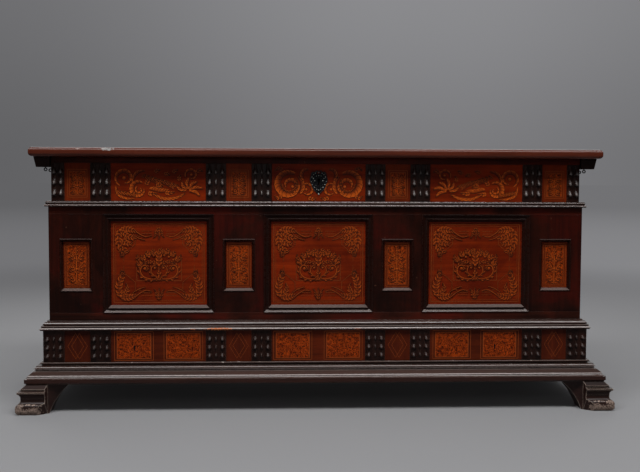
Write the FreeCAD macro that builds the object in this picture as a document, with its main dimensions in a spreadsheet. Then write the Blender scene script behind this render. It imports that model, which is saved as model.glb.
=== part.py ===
import FreeCAD, Part
import os
from math import atan2, pi, sqrt
import Sketcher
from FreeCAD import Rotation, Vector

# A walnut marriage chest: a nailed board carcase, a framed front with sunk panels,
# two friezes of veneered tablets and carved blocks, returned mouldings, bracket feet,
# a hinged lid with end cleats, a lock and two strap hinges.
# X runs along the chest, Y from front to back, Z up from the floor. Millimetres.

SIZES = {
    # Overall, over the framed middle of the chest
    "case_wide": 1590,
    "case_deep": 560,
    "board_thick": 22,
    # Heights of the tiers, from the floor up
    "foot_high": 85,
    "base_high": 58,
    "plinth_high": 94,
    "cap_high": 28,
    "frame_high": 337,
    "waist_high": 16,
    "frieze_high": 112,
    "head_high": 18,
    # How far each face stands before or behind the frame's face
    "front_frame_thick": 14,
    "side_frame_thick": 8,
    "head_rail_back": 4,
    "plinth_board_out": 12,
    # Framed middle
    "rail_wide": 22,
    "stile_wide": 158.5,
    "muntin_wide": 148,
    "panel_thick": 5,
    "moulding_wide": 22,
    "moulding_proud": 3,
    "inner_proud": 2,
    "outer_slope_wide": 8,
    "quirk_deep": 3,
    "quirk_wide": 5,
    "slope_foot": 1.5,
    "small_sill": 62,
    "small_opening_wide": 96,
    "small_opening_high": 158,
    "small_moulding_wide": 10,
    "side_stile_wide": 92,
    # Friezes
    "tablet_thick": 4,
    "upper_tablet_thick": 6,
    "block_wide": 60,
    "corner_block_wide": 38.5,
    "small_tablet_wide": 75,
    "block_proud": 2,
    "gutta_wide": 14,
    "gutta_slim_wide": 9,
    "gutta_tip_wide": 5,
    "gutta_out": 10,
    "gutta_tip_out": 2,
    "gutta_pitch": 17.5,
    "gutta_gap": 3,
    "gutta_head": 5,
    "upper_gutta_foot": 17,
    "lower_gutta_foot": 11,
    # Mouldings: how far each member stands out, and its height
    "waist_out": 12.4,
    "waist_nose_round": 3.2,
    "waist_top_out": 8,
    "waist_bead_round": 2.6,
    "cap_out": 27.5,
    "cap_nose_high": 8,
    "cap_nose_round": 4.2,
    "cap_bead_out": 21,
    "cap_bead_high": 4,
    "cap_quirk": 3,
    "cap_lip_out": 17,
    "cap_lip_high": 3,
    "cap_fillet_out": 6,
    "cap_fillet_high": 3,
    "cap_cove_round": 11,
    "base_out": 62.5,
    "base_face_high": 24,
    "base_nose_round": 8,
    "base_ramp_out": 42,
    "base_ramp_high": 10,
    "base_quirk": 5,
    "base_torus_out": 40,
    "base_torus_round": 9,
    "base_fillet_out": 24,
    "base_fillet_high": 4.5,
    "base_hollow_out": 20,
    # Feet
    "toe_out": 84,
    "toe_high": 27,
    "toe_round": 13,
    "foot_sole_out": 74,
    "foot_waist_out": 72,
    "foot_waist_high": 47,
    "foot_scotia_round": 13,
    "foot_nose_out": 80,
    "foot_nose_high": 66,
    "foot_nose_thick": 5,
    "foot_step_out": 72,
    "foot_step_high": 75,
    "foot_top_out": 58,
    "foot_cant_in": 47,
    "foot_cant_lean": 24,
    "foot_wing_long": 67,
    "foot_wing_out": 20,
    "foot_inner": 20,
    "foot_face_end": 1,
    "bracket_round": 170,
    "bracket_inset": 171,
    "bracket_fall": 49,
    "back_foot_deep": 78,
    # Bottom of the chest
    "bottom_thick": 20,
    "bottom_raise": 15,
    # Lid
    "lid_thick": 26,
    "lid_out": 46,
    "lid_round": 10,
    "lid_gap": 0.3,
    "lid_back_deep": 310,
    "cleat_deep": 31,
    "cleat_gap": 2,
    "cleat_top_out": 41,
    "cleat_foot_out": 34,
    "cleat_front_out": 2,
    # Hinges
    "knuckle_round": 5.5,
    "knuckle_gap": 0.4,
    "knuckle_long": 12,
    "knuckle_space": 0.5,
    "pin_round": 2.5,
    "pin_clearance": 0.05,
    "pin_overhang": 2,
    "strap_thick": 3,
    "strap_wide": 34,
    "strap_tip_wide": 20,
    "strap_long": 260,
    "leaf_high": 92,
    "hinge_place": 520,
    # Lock
    "keyhole_rise": 8,
    "keyhole_round": 5,
    "keyhole_slot_wide": 5,
    "keyhole_slot_high": 15,
    "lock_wide": 104,
    "lock_high": 88,
    "lock_deep": 26,
    "lock_wall": 3,
    "lock_top_gap": 6,
    "bolt_long": 40,
    "bolt_high": 8,
    "bolt_deep": 7,
    "bolt_drop": 30,
    "bolt_fit": 0.2,
    "bolt_travel": 20,
    "bolt_tip": 6,
    "staple_thick": 5,
    "staple_leg": 4,
    "staple_eye_wide": 10,
    "staple_eye_high": 16,
    "staple_plate_long": 44,
    "staple_plate_thick": 3,
    "staple_slack": 2,
    # Escutcheon
    "escutcheon_thick": 1.6,
    "scroll_round": 8.5,
    "scroll_reach": 16.5,
    "boss_round": 13,
    "lower_scroll_round": 7,
    "lower_scroll_drop": 20,
    "lower_scroll_reach": 9.5,
    "drop_round": 5,
    "drop_fall": 34,
    "drop_point": 48,
    # Iron eyes
    "eye_round": 5.4,
    "eye_hole_round": 2.6,
    "eye_thick": 2.8,
    "eye_neck": 1.5,
    "eye_back": 30,
    "eye_drop": 40,
    # Run of every cut past the face that it opens
    "overrun": 6,
}

os.makedirs("parts", exist_ok=True)
doc = FreeCAD.newDocument("chest")
sheet = doc.addObject("Spreadsheet::Sheet", "sizes")


class Size:
    """A length in millimetres with the sheet expression that a property is bound to."""

    def __init__(self, value, text):
        self.value, self.text = value, text

    @staticmethod
    def of(thing):
        return thing if isinstance(thing, Size) else Size(thing, repr(thing))

    def __add__(self, other):
        other = Size.of(other)
        return Size(self.value + other.value, f"({self.text} + {other.text})")

    def __sub__(self, other):
        other = Size.of(other)
        return Size(self.value - other.value, f"({self.text} - {other.text})")

    def __mul__(self, share):
        return Size(self.value * share, f"({self.text} * {share!r})")

    def __truediv__(self, share):
        return Size(self.value / share, f"({self.text} / {share!r})")

    def __neg__(self):
        return Size(-self.value, f"(0 - {self.text})")


class Sheet:
    """The driving sizes by name."""


s = Sheet()
for line, (alias, number) in enumerate(SIZES.items(), start=1):
    sheet.set(f"A{line}", alias)
    sheet.set(f"B{line}", str(number))
    sheet.setAlias(f"B{line}", alias)
    setattr(s, alias, Size(number, f"sizes.{alias}"))
doc.recompute()
nil = Size(0, "0")


# Levels and faces that several pieces share
half_wide = s.case_wide / 2
hinge_out = s.knuckle_gap + s.knuckle_round * 2
front_y = (s.toe_out - s.case_deep - hinge_out) / 2
back_y = front_y + s.case_deep
z_base = s.foot_high
z_plinth = z_base + s.base_high
z_cap = z_plinth + s.plinth_high
z_frame = z_cap + s.cap_high
z_waist = z_frame + s.frame_high
z_frieze = z_waist + s.waist_high
z_head = z_frieze + s.frieze_high
z_keyhole = z_frieze + s.frieze_high / 2 + s.keyhole_rise
z_top = z_head + s.head_high
z_eye = z_top - s.eye_drop
z_lid = z_top + s.lid_gap
z_lid_top = z_lid + s.lid_thick
carcase_x = half_wide - s.side_frame_thick
carcase_y = front_y + s.front_frame_thick
inner_y = carcase_y + s.board_thick
plinth_out = s.plinth_board_out + s.tablet_thick
plinth_x = half_wide + plinth_out
axis_y = back_y + s.knuckle_gap + s.knuckle_round
axis_z = z_top + s.lid_gap / 2


def bind(thing, name, size):
    thing.setExpression(name, Size.of(size).text)


def place(thing, x=nil, y=nil, z=nil, turn=None):
    """Moves an object to a bound place, turned by a fixed rotation."""
    if turn:
        thing.Placement = FreeCAD.Placement(Vector(0, 0, 0), turn)
    for axis, size in (("x", x), ("y", y), ("z", z)):
        bind(thing, "Placement.Base." + axis, size)
    return thing


def box(name, x, y, z):
    """A board between two bound limits along each axis."""
    board = doc.addObject("Part::Box", name)
    for length, limits in (("Length", x), ("Width", y), ("Height", z)):
        bind(board, length, limits[1] - limits[0])
    return place(board, x[0], y[0], z[0])


ALONG = {"x": Rotation(Vector(0, 1, 0), 90), "y": Rotation(Vector(1, 0, 0), -90), "z": Rotation()}


def rod(name, radius, along, start, long, x=nil, y=nil, z=nil):
    """A round bar along one axis, which begins at start on that axis."""
    bar = doc.addObject("Part::Cylinder", name)
    bind(bar, "Radius", radius)
    bind(bar, "Height", long)
    at = dict(x=x, y=y, z=z)
    at[along] = start
    return place(bar, at["x"], at["y"], at["z"], ALONG[along])


def cut(name, base, *tools):
    """One piece less its tools."""
    tool = tools[0] if len(tools) == 1 else fuse(name + "_cutter", *tools)
    result = doc.addObject("Part::Cut", name)
    result.Base, result.Tool = base, tool
    return result


def fuse(name, *pieces):
    result = doc.addObject("Part::MultiFuse", name)
    result.Shapes = list(pieces)
    return result


def overlap(name, *pieces):
    result = doc.addObject("Part::MultiCommon", name)
    result.Shapes = list(pieces)
    return result


def group(name, pieces):
    """Several separate pieces under one name."""
    result = doc.addObject("Part::Compound", name)
    result.Links = list(pieces)
    return result


def mirrored(name, piece):
    """The same piece on the other side of the chest's middle."""
    result = doc.addObject("Part::Mirroring", name)
    result.Source = piece
    result.Normal = Vector(1, 0, 0)
    return result


def copy_at(name, piece, x=nil, y=nil, z=nil, turn=None):
    result = doc.addObject("App::Link", name)
    result.LinkedObject = piece
    return place(result, x, y, z, turn)


PLANES = {"yz": "YZ_Plane", "xz": "XZ_Plane", "xy": "XY_Plane"}


def sketch(body, plane, outline, start=nil):
    """A closed outline whose corners are bound to the sheet.
    A corner is (across, up), or (across, up, radius) where the line that reaches it is an
    arc: a positive radius turns to the left, a negative one to the right."""
    drawing = body.newObject("Sketcher::SketchObject", body.Name + "_" + plane)
    role = PLANES[plane]
    origin_plane = [face for face in body.Origin.OriginFeatures if face.Role == role][0]
    drawing.AttachmentSupport = (origin_plane, [""])
    drawing.MapMode = "FlatFace"
    bind(drawing, "AttachmentOffset.Base.z", start)
    corners = [tuple(Size.of(part) for part in corner) for corner in outline]
    points = [Vector(corner[0].value, corner[1].value, 0) for corner in corners]
    ends = []
    for number, corner in enumerate(corners):
        here, before = points[number], points[number - 1]
        if len(corner) < 3:
            drawing.addGeometry(Part.LineSegment(before, here), False)
            ends.append((1, 2))
            continue
        left = corner[2].value > 0
        radius = abs(corner[2].value)
        chord = here - before
        rise = sqrt(max(radius ** 2 - (chord.Length / 2) ** 2, 0))
        side = Vector(-chord.y, chord.x, 0).normalize() * (rise if left else -rise)
        centre = (here + before) / 2 + side
        first, last = (before, here) if left else (here, before)
        angles = [atan2(p.y - centre.y, p.x - centre.x) for p in (first, last)]
        circle = Part.Circle(centre, Vector(0, 0, 1), radius)
        drawing.addGeometry(Part.ArcOfCircle(circle, angles[0], angles[1]), False)
        ends.append((1, 2) if left else (2, 1))
    for number, corner in enumerate(corners):
        after = (number + 1) % len(corners)
        joint = (number, ends[number][1], after, ends[after][0])
        drawing.addConstraint(Sketcher.Constraint("Coincident", *joint))
        for kind, size in (("DistanceX", corner[0]), ("DistanceY", corner[1])):
            rule = Sketcher.Constraint(kind, number, ends[number][1], size.value)
            bind(drawing, f"Constraints[{drawing.addConstraint(rule)}]", size)
        if len(corner) == 3:
            radius = corner[2] if corner[2].value > 0 else -corner[2]
            rule = Sketcher.Constraint("Radius", number, radius.value)
            bind(drawing, f"Constraints[{drawing.addConstraint(rule)}]", radius)
    return drawing


def pad(name, plane, outline, long, start=nil):
    """A body whose outline is drawn on one plane and padded along that plane's axis,
    from start onwards (towards +X, +Y or +Z)."""
    body = doc.addObject("PartDesign::Body", name)
    flip = plane == "xz"
    drawing = sketch(body, plane, outline, -start if flip else start)
    solid = body.newObject("PartDesign::Pad", name + "_pad")
    solid.Profile = drawing
    bind(solid, "Length", long)
    solid.Reversed = flip
    return body


def trim(body, plane, outline):
    """Cuts right through a body along an outline on one plane."""
    drawing = sketch(body, plane, outline)
    pocket = body.newObject("PartDesign::Pocket", drawing.Name + "_cut")
    pocket.Profile = drawing
    pocket.Type = "ThroughAll"
    pocket.Midplane = True
    body.Tip = pocket
    return body


def run(name, outline, long, low, high, plane, mitres):
    """A length of moulding along X, its section given as (out, up) pairs.
    Its ends are cut at 45 degrees on the plane given, between low and high."""
    section = [(-corner[0], *corner[1:]) for corner in outline]
    first, last = mitres
    start = low if first else nil
    end = long - low if last else long
    body = pad(name, "yz", section, end - start, start)
    below, above = low - s.overrun, high + s.overrun
    if first:
        trim(body, plane, [(below, below), (above, above), (below, above)])
    if last:
        corners = [(long - below, below), (long - below, above), (long - above, above)]
        drawing = sketch(body, plane, corners)
        pocket = body.newObject("PartDesign::Pocket", name + "_last_cut")
        pocket.Profile = drawing
        pocket.Type = "ThroughAll"
        pocket.Midplane = True
        body.Tip = pocket
    return body


LEFT_TURN = Rotation(Vector(0, 0, 1), -90)
RIGHT_TURN = Rotation(Vector(0, 0, 1), 90)


def returned_moulding(name, section, reach, up):
    """A moulding across the front and back along both sides, mitred at the corners.
    section(back) gives its outline from the wall behind it, which lies at -back."""
    front_wall = section("front")
    side_wall = section("side")
    deep = back_y - front_y
    front = run(name + "_front", front_wall, s.case_wide, -reach, s.front_frame_thick, "xy", (1, 1))
    place(front, -half_wide, front_y, up)
    left = run(name + "_left", side_wall, deep, -reach, s.side_frame_thick, "xy", (0, 1))
    place(left, -half_wide, back_y, up, LEFT_TURN)
    right = run(name + "_right", side_wall, deep, -reach, s.side_frame_thick, "xy", (1, 0))
    place(right, half_wide, front_y, up, RIGHT_TURN)
    return [front, left, right]


pieces = []


def keep(*things):
    """Lists finished pieces: each one's label names its file."""
    pieces.extend(things)


# Carcase: five boards and a bottom, nailed together
wide_x = (-carcase_x, carcase_x)
front_board = box("front_board_blank", wide_x, (carcase_y, inner_y), (z_base, z_top))
inner_back = back_y - s.board_thick
inner_x = carcase_x - s.board_thick
z_floor = z_base + s.bottom_raise
left_board = box("carcase_left", (-carcase_x, -inner_x), (inner_y, inner_back), (z_base, z_top))
right_board = box("carcase_right", (inner_x, carcase_x), (inner_y, inner_back), (z_base, z_top))
back_joint = z_frame + s.frame_high / 3
back_face = (inner_back, back_y)
back_boards = group("back_boards", [
    box("back_lower_board", wide_x, back_face, (z_base, back_joint)),
    box("back_upper_board", wide_x, back_face, (back_joint, z_top)),
])
bottom = box("bottom_boards", (-inner_x, inner_x), (inner_y, inner_back),
             (z_floor, z_floor + s.bottom_thick))

# Keyhole: a round hole with a slot below it, through the board, the tablet and the plate
deep_y = (carcase_y - s.upper_tablet_thick - s.overrun, inner_y + s.overrun)
keyhole_round = rod("keyhole_round_cut", s.keyhole_round, "y", deep_y[0], deep_y[1] - deep_y[0],
                    z=z_keyhole)
slot_half = s.keyhole_slot_wide / 2
keyhole_slot = box("keyhole_slot_cut", (-slot_half, slot_half), deep_y,
                   (z_keyhole - s.keyhole_slot_high, z_keyhole))
keyhole = fuse("keyhole_cut", keyhole_round, keyhole_slot)
keep(cut("carcase_front", front_board, keyhole), left_board, right_board, back_boards, bottom)

# Framed front: two rails, two wide stiles and two wide muntins, each of these pierced
frame_y = (front_y, carcase_y)
z_sill = z_frame + s.rail_wide
z_lintel = z_waist - s.rail_wide
frame_x = (-half_wide, half_wide)
keep(box("front_bottom_rail", frame_x, frame_y, (z_frame, z_sill)),
     box("front_top_rail", frame_x, frame_y, (z_lintel, z_waist)))
opening_wide = (s.case_wide - s.stile_wide * 2 - s.muntin_wide * 2) / 3
opening_high = z_lintel - z_sill
z_small = z_sill + s.small_sill
small_z = (z_small, z_small + s.small_opening_high)
muntin_x = opening_wide / 2
stile_x = muntin_x + s.muntin_wide + opening_wide
small_places = {}
for side, sign in (("left", -1), ("right", 1)):
    for part, near, wide in (("muntin", muntin_x, s.muntin_wide), ("stile", stile_x, s.stile_wide)):
        centre = (near + wide / 2) * sign
        post = box(f"{part}_{side}_blank", (centre - wide / 2, centre + wide / 2), frame_y,
                   (z_sill, z_lintel))
        half = s.small_opening_wide / 2
        window = box(f"{part}_{side}_window", (centre - half, centre + half),
                     (front_y - s.overrun, carcase_y + s.overrun), small_z)
        keep(cut(f"front_{part}_{side}", post, window))
        small_places[f"{part}_{side}"] = centre - half

# Sunk panels, which lie against the carcase inside the openings
panel_y = (carcase_y - s.panel_thick, carcase_y)
large_places = {}
for number, part in enumerate(("left", "middle", "right")):
    low_x = (s.muntin_wide + opening_wide) * (number - 1) - opening_wide / 2
    large_places[part] = low_x
    keep(box(f"large_panel_{part}", (low_x, low_x + opening_wide), panel_y, (z_sill, z_lintel)))
keep(group("small_panels", [
    box(f"small_panel_{part}", (low_x, low_x + s.small_opening_wide), panel_y, small_z)
    for part, low_x in small_places.items()
]))


# Panel mouldings: four mitred strips round each opening
def bolection(wide, deep):
    """Section of a strip: a proud outer slope, a quirk and an inner slope to the panel."""
    outer, arris = s.outer_slope_wide, s.inner_proud / 2
    foot = outer + s.quirk_wide
    return [(-deep, nil), (s.moulding_proud, nil), (s.moulding_proud, arris),
            (-s.quirk_deep, outer), (-s.quirk_deep, foot), (s.inner_proud, foot),
            (s.inner_proud, foot + arris), (s.slope_foot - deep, wide), (-deep, wide)]


def picture_frame(name, wide, high, strip_wide, section):
    """Four strips round an opening whose low left corner is the origin."""
    turns = {"bottom": 0, "right": -90, "top": 180, "left": 90}
    corners = {"bottom": (nil, nil, wide), "right": (wide, nil, high),
               "top": (wide, high, wide), "left": (nil, high, high)}
    strips = []
    for part, angle in turns.items():
        x, z, long = corners[part]
        strip = run(f"{name}_{part}", section, long, nil, strip_wide, "xz", (1, 1))
        strips.append(place(strip, x=x, z=z, turn=Rotation(Vector(0, 1, 0), angle)))
    return strips


front_depth = s.front_frame_thick - s.panel_thick
large_section = bolection(s.moulding_wide, front_depth)
large_frame = group("large_moulding", picture_frame(
    "large_strip", opening_wide, opening_high, s.moulding_wide, large_section))
small_section = [(-front_depth, nil), (nil, nil), (s.inner_proud, s.inner_proud),
                 (s.inner_proud, s.small_moulding_wide * 0.35),
                 (-front_depth, s.small_moulding_wide)]
small_frame = group("small_moulding", picture_frame(
    "small_strip", s.small_opening_wide, s.small_opening_high, s.small_moulding_wide,
    small_section))
keep(group("large_panel_mouldings", [
    copy_at(f"large_moulding_{part}", large_frame, low_x, front_y, z_sill)
    for part, low_x in large_places.items()
]))
keep(group("small_panel_mouldings", [
    copy_at(f"small_moulding_{part}", small_frame, low_x, front_y, z_small)
    for part, low_x in small_places.items()
]))

# Side frames: two stiles and two rails round one plain sunk panel, with its moulding
side_long = back_y - carcase_y
side_open = side_long - s.side_stile_wide * 2
side_section = bolection(s.moulding_wide, s.side_frame_thick)
side_moulding = group("side_moulding", picture_frame(
    "side_strip", side_open, opening_high, s.moulding_wide, side_section))
for side, sign, turn in (("left", -1, LEFT_TURN), ("right", 1, RIGHT_TURN)):
    near, far = (carcase_x, half_wide) if sign > 0 else (-half_wide, -carcase_x)
    first_y, last_y = carcase_y + s.side_stile_wide, back_y - s.side_stile_wide
    members = {"front_stile": (carcase_y, first_y, z_sill, z_lintel),
               "back_stile": (last_y, back_y, z_sill, z_lintel),
               "bottom_rail": (carcase_y, back_y, z_frame, z_sill),
               "top_rail": (carcase_y, back_y, z_lintel, z_waist)}
    keep(group(f"{side}_side_frame", [
        box(f"{side}_{part}", (near, far), (y0, y1), (z0, z1))
        for part, (y0, y1, z0, z1) in members.items()
    ]))
    begin_y = first_y if sign > 0 else last_y
    keep(copy_at(f"{side}_panel_moulding", side_moulding, half_wide * sign, begin_y, z_sill, turn))

# Lower frieze boards: a thick one across the front and one along each side
keep(box("plinth_board_front", (-plinth_x, plinth_x), (front_y - s.plinth_board_out, carcase_y),
         (z_base, z_cap)),
     box("plinth_board_left", (-plinth_x, -carcase_x), (carcase_y, back_y), (z_base, z_cap)),
     box("plinth_board_right", (carcase_x, plinth_x), (carcase_y, back_y), (z_base, z_cap)))

# Layout of both friezes, out from the middle: long tablet, block, small tablet, block, long
# tablet, block, small tablet, and a corner block; the three long tablets share what is left
filled = s.block_wide * 6 + s.small_tablet_wide * 4 + s.corner_block_wide * 2
long_tablet_wide = (carcase_x * 2 - filled) / 3
middle_half = long_tablet_wide / 2
bay_edges = [middle_half]
for step in (s.block_wide, s.small_tablet_wide, s.block_wide, long_tablet_wide,
             s.block_wide, s.small_tablet_wide):
    bay_edges.append(bay_edges[-1] + step)


def bays(end):
    """Edges of the blocks, small tablets and long tablets right of the middle."""
    edges = bay_edges + [end]
    blocks = [(edges[0], edges[1]), (edges[2], edges[3]), (edges[4], edges[5]), (edges[6], edges[7])]
    small = [(edges[1], edges[2]), (edges[5], edges[6])]
    return blocks, small, (edges[3], edges[4])


def both_sides(span):
    return {"right": span, "left": (-span[1], -span[0])}


def gutta(name, wide, long, x, y, z):
    """One carved drop: narrow and shallow at its top, broad and proud at its foot."""
    drop = doc.addObject("Part::Wedge", name)
    half, tip = wide / 2, s.gutta_tip_wide / 2
    limits = {"Xmin": -half, "Xmax": half, "X2min": -tip, "X2max": tip, "Ymin": nil, "Ymax": long,
              "Zmin": nil, "Zmax": s.gutta_out, "Z2min": nil, "Z2max": s.gutta_tip_out}
    for limit, size in limits.items():
        bind(drop, limit, size)
    return place(drop, x, y, z, Rotation(Vector(1, 0, 0), 90))


def carved_block(name, span, face, low, high, foot, columns):
    """A plate with three tiers of drops, the outer columns broader than the middle one."""
    centre = (span[0] + span[1]) / 2
    parts = [box(name + "_plate", span, face, (low, high))]
    pitch = (high - low - foot - s.gutta_head) / 3
    for tier in range(3):
        level = low + foot + pitch * tier
        for column in range(columns):
            offset = column - (columns - 1) / 2
            wide = s.gutta_slim_wide if offset == 0 else s.gutta_wide
            parts.append(gutta(f"{name}_drop_{tier}_{column}", wide, pitch - s.gutta_gap,
                               centre + s.gutta_pitch * offset, face[0], level))
    return fuse(name, *parts)


def frieze(name, end, wall, thick, low, high, foot, corner_columns):
    """Tablets and carved blocks across the front, set on the wall behind them."""
    blocks, small, long = bays(end)
    block_face = (wall - thick - s.block_proud, wall)
    tablet_face = (wall - thick, wall)
    carved = []
    for number, span in enumerate(blocks):
        columns = corner_columns if number == 3 else 3
        for side, place_x in both_sides(span).items():
            carved.append(carved_block(f"{name}_block_{side}_{number}", place_x, block_face,
                                       low, high, foot, columns))
    little = [box(f"{name}_small_{side}_{number}", place_x, tablet_face, (low, high))
              for number, span in enumerate(small) for side, place_x in both_sides(span).items()]
    lengths = {side: box(f"{name}_tablet_{side}", place_x, tablet_face, (low, high))
               for side, place_x in both_sides(long).items()}
    middle = box(f"{name}_tablet_middle", (-middle_half, middle_half), tablet_face, (low, high))
    keep(group(f"{name}_carved_blocks", carved), group(f"{name}_small_tablets", little))
    return lengths["left"], middle, lengths["right"]


# Upper frieze, with the lock's keyhole through its middle tablet
upper_left, upper_middle, upper_right = frieze(
    "upper", carcase_x, carcase_y, s.upper_tablet_thick, z_frieze, z_head, s.upper_gutta_foot, 2)
upper_middle.Label = "upper_tablet_middle_blank"
pierced = cut("upper_tablet_pierced", upper_middle, keyhole)
pierced.Label = "upper_tablet_middle"
keep(upper_left, pierced, upper_right)
keep(box("head_rail", wide_x, (front_y + s.head_rail_back, carcase_y), (z_head, z_top)))

# Lower frieze
lower = frieze("lower", plinth_x, front_y - s.plinth_board_out, s.tablet_thick,
               z_plinth, z_cap, s.lower_gutta_foot, 3)
keep(group("lower_long_tablets", lower))


# Mouldings that run across the front and return along the sides
def waist_section(wall):
    back = -s.front_frame_thick if wall == "front" else -s.side_frame_thick
    nose, bead = s.waist_nose_round, s.waist_bead_round
    groove = nose * 2
    return [(back, nil), (s.waist_out - nose, nil), (s.waist_out, nose, nose),
            (s.waist_out - nose, groove, nose), (s.waist_top_out - bead, groove + nose * 0.5),
            (s.waist_top_out, s.waist_high - bead * 1.6),
            (s.waist_top_out - bead, s.waist_high, bead * 1.3), (back, s.waist_high)]


def cap_section(wall):
    back = -s.front_frame_thick if wall == "front" else -s.side_frame_thick
    nose, tread, top = s.cap_nose_round, s.cap_nose_high, s.cap_high
    bead = tread + s.cap_quirk * 0.5
    bead_top, lip, fillet = bead + s.cap_bead_high, bead + s.cap_lip_high * 2, top - s.cap_fillet_high
    return [(back, nil), (s.cap_out - nose, nil), (s.cap_out, nose, nose),
            (s.cap_out - nose, tread, nose), (s.cap_bead_out - s.cap_quirk, tread),
            (s.cap_bead_out - s.cap_quirk, bead), (s.cap_bead_out, bead),
            (s.cap_bead_out, bead_top), (s.cap_lip_out - s.cap_quirk, bead_top),
            (s.cap_lip_out - s.cap_quirk, lip), (s.cap_lip_out, lip), (s.cap_lip_out, lip + s.cap_quirk / 2),
            (s.cap_fillet_out * 1.3, fillet, -s.cap_cove_round),
            (s.cap_fillet_out, fillet), (s.cap_fillet_out, top), (back, top)]


def base_section(wall):
    back = s.plinth_board_out if wall == "front" else plinth_out
    nose, torus, top = s.base_nose_round, s.base_torus_round, s.base_high
    face, ramp = s.base_face_high, s.base_face_high + s.base_ramp_high
    fillet = top - s.base_fillet_high
    torus_foot = ramp + s.base_quirk * 0.9
    return [(back, nil), (s.base_out - nose * 0.5, nil), (s.base_out, nose * 0.5, nose * 0.5),
            (s.base_out, face - nose), (s.base_out - nose, face, nose), (s.base_ramp_out, ramp),
            (s.base_torus_out - s.base_quirk, ramp), (s.base_torus_out - s.base_quirk, torus_foot),
            (s.base_torus_out, torus_foot + torus * 0.5, torus * 0.8),
            (s.base_torus_out - torus * 0.7, torus_foot + torus * 1.2, torus * 0.8),
            (s.base_hollow_out, torus_foot + torus * 1.2), (s.base_hollow_out, fillet),
            (s.base_fillet_out, fillet), (s.base_fillet_out, top), (back, top)]


keep(*returned_moulding("waist_moulding", waist_section, s.waist_out, z_waist))
keep(*returned_moulding("cap_moulding", cap_section, s.cap_out, z_cap))
keep(*returned_moulding("base_moulding", base_section, s.base_out, z_base))

# Feet: moulded on their outer faces, canted inside, with a bracket hollow under each wing
foot_back = s.foot_wing_long


def foot_section(sign):
    """Outline of the moulded face as (out, up), from the sole up to the base moulding."""
    corners = [
        (-foot_back, nil), (s.foot_sole_out, nil), (s.toe_out, s.toe_high * 0.4, s.toe_round),
        (s.toe_out, s.toe_high * 0.85),
        (s.toe_out - s.toe_high * 0.2, s.toe_high * 1.15, s.toe_round),
        (s.foot_waist_out, s.foot_waist_high, -s.foot_scotia_round),
        (s.foot_nose_out, s.foot_nose_high - s.foot_nose_thick, -s.foot_scotia_round),
        (s.foot_nose_out, s.foot_nose_high),
        (s.foot_step_out - s.foot_nose_thick * 0.4, s.foot_nose_high + s.foot_nose_thick * 0.6),
        (s.foot_step_out - s.foot_nose_thick * 0.4, s.foot_step_high - s.foot_nose_thick * 0.6),
        (s.foot_step_out, s.foot_step_high - s.foot_nose_thick * 0.4),
        (s.foot_top_out, s.foot_high), (-foot_back, s.foot_high)]
    return [(corner[0] * sign, corner[1], *(radius * sign for radius in corner[2:]))
            for corner in corners]


reach = s.toe_out + foot_back + s.overrun * 2
side_face = place(pad("foot_side_face", "xz", foot_section(1), reach, -s.toe_out - s.overrun),
                  half_wide, front_y)
front_face = place(pad("foot_front_face", "yz", foot_section(-1), reach, -foot_back - s.overrun),
                   half_wide, front_y)
out, wing, end = s.toe_out + s.overrun, s.foot_wing_out, s.foot_face_end
plan = [(out, -out), (end, -out), (end, -s.foot_step_out),
        (end - s.foot_nose_thick, -s.foot_top_out),
        (-s.foot_wing_long + s.foot_nose_thick, -wing), (-s.foot_wing_long, -wing),
        (-s.foot_wing_long, s.foot_inner), (-s.foot_inner, s.foot_inner),
        (-s.foot_inner, s.foot_wing_long), (wing, s.foot_wing_long),
        (wing, s.foot_wing_long - s.foot_nose_thick), (s.foot_top_out, s.foot_nose_thick - end),
        (s.foot_step_out, -end), (out, -end)]
foot_plan = place(pad("foot_plan", "xy", plan, s.foot_high), half_wide, front_y)
hollow_x = half_wide - s.bracket_inset
hollow_y = front_y + s.bracket_inset
wing_deep = s.toe_out + s.foot_inner + s.overrun
front_hollow = rod("foot_front_hollow", s.bracket_round, "y", front_y - s.toe_out - s.overrun,
                   wing_deep, x=hollow_x, z=-s.bracket_fall)
side_hollow = rod("foot_side_hollow", s.bracket_round, "x", half_wide - s.foot_inner,
                  wing_deep, y=hollow_y, z=-s.bracket_fall)
cant_turn = 38


def toe_cant(name, y, turn):
    """A leaning cutter that narrows a toe's inner end towards the floor."""
    outline = [(-reach, -s.overrun), (-s.foot_cant_in, -s.overrun),
               (-s.foot_cant_in - s.foot_cant_lean, s.foot_high), (-reach, s.foot_high)]
    return place(pad(name, "yz", outline, reach * 2, -reach), half_wide, y, nil,
                 Rotation(Vector(0, 0, 1), turn))


front_foot = cut("foot_front_right", overlap("foot_block", side_face, front_face, foot_plan),
                 front_hollow, side_hollow, toe_cant("foot_front_cant", front_y, -cant_turn),
                 toe_cant("foot_side_cant", front_y, 90 + cant_turn))
keep(front_foot, mirrored("foot_front_left", front_foot))

# Back feet: moulded on the side only, flat behind, with a wing that runs forward
wing_end = -s.back_foot_deep - s.foot_wing_long
back_plan = [(out, -s.back_foot_deep), (out, nil), (-s.foot_inner, nil), (-s.foot_inner, wing_end),
             (wing, wing_end), (s.foot_top_out, -s.back_foot_deep - s.foot_nose_thick),
             (s.foot_step_out, -s.back_foot_deep)]
back_face_pad = pad("back_foot_side_face", "xz", foot_section(1), reach + s.back_foot_deep,
                    -reach - s.back_foot_deep)
place(back_face_pad, half_wide, back_y + s.overrun)
back_foot_plan = place(pad("back_foot_plan", "xy", back_plan, s.foot_high), half_wide, back_y)
back_hollow = rod("back_foot_hollow", s.bracket_round, "x", half_wide - s.foot_inner - s.overrun,
                  wing_deep + s.foot_inner,
                  y=back_y - s.back_foot_deep - s.bracket_inset, z=-s.bracket_fall)
back_foot = cut("foot_back_right", overlap("back_foot_block", back_face_pad, back_foot_plan),
                back_hollow, toe_cant("back_foot_cant", back_y - s.back_foot_deep, 90 - cant_turn))
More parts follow.
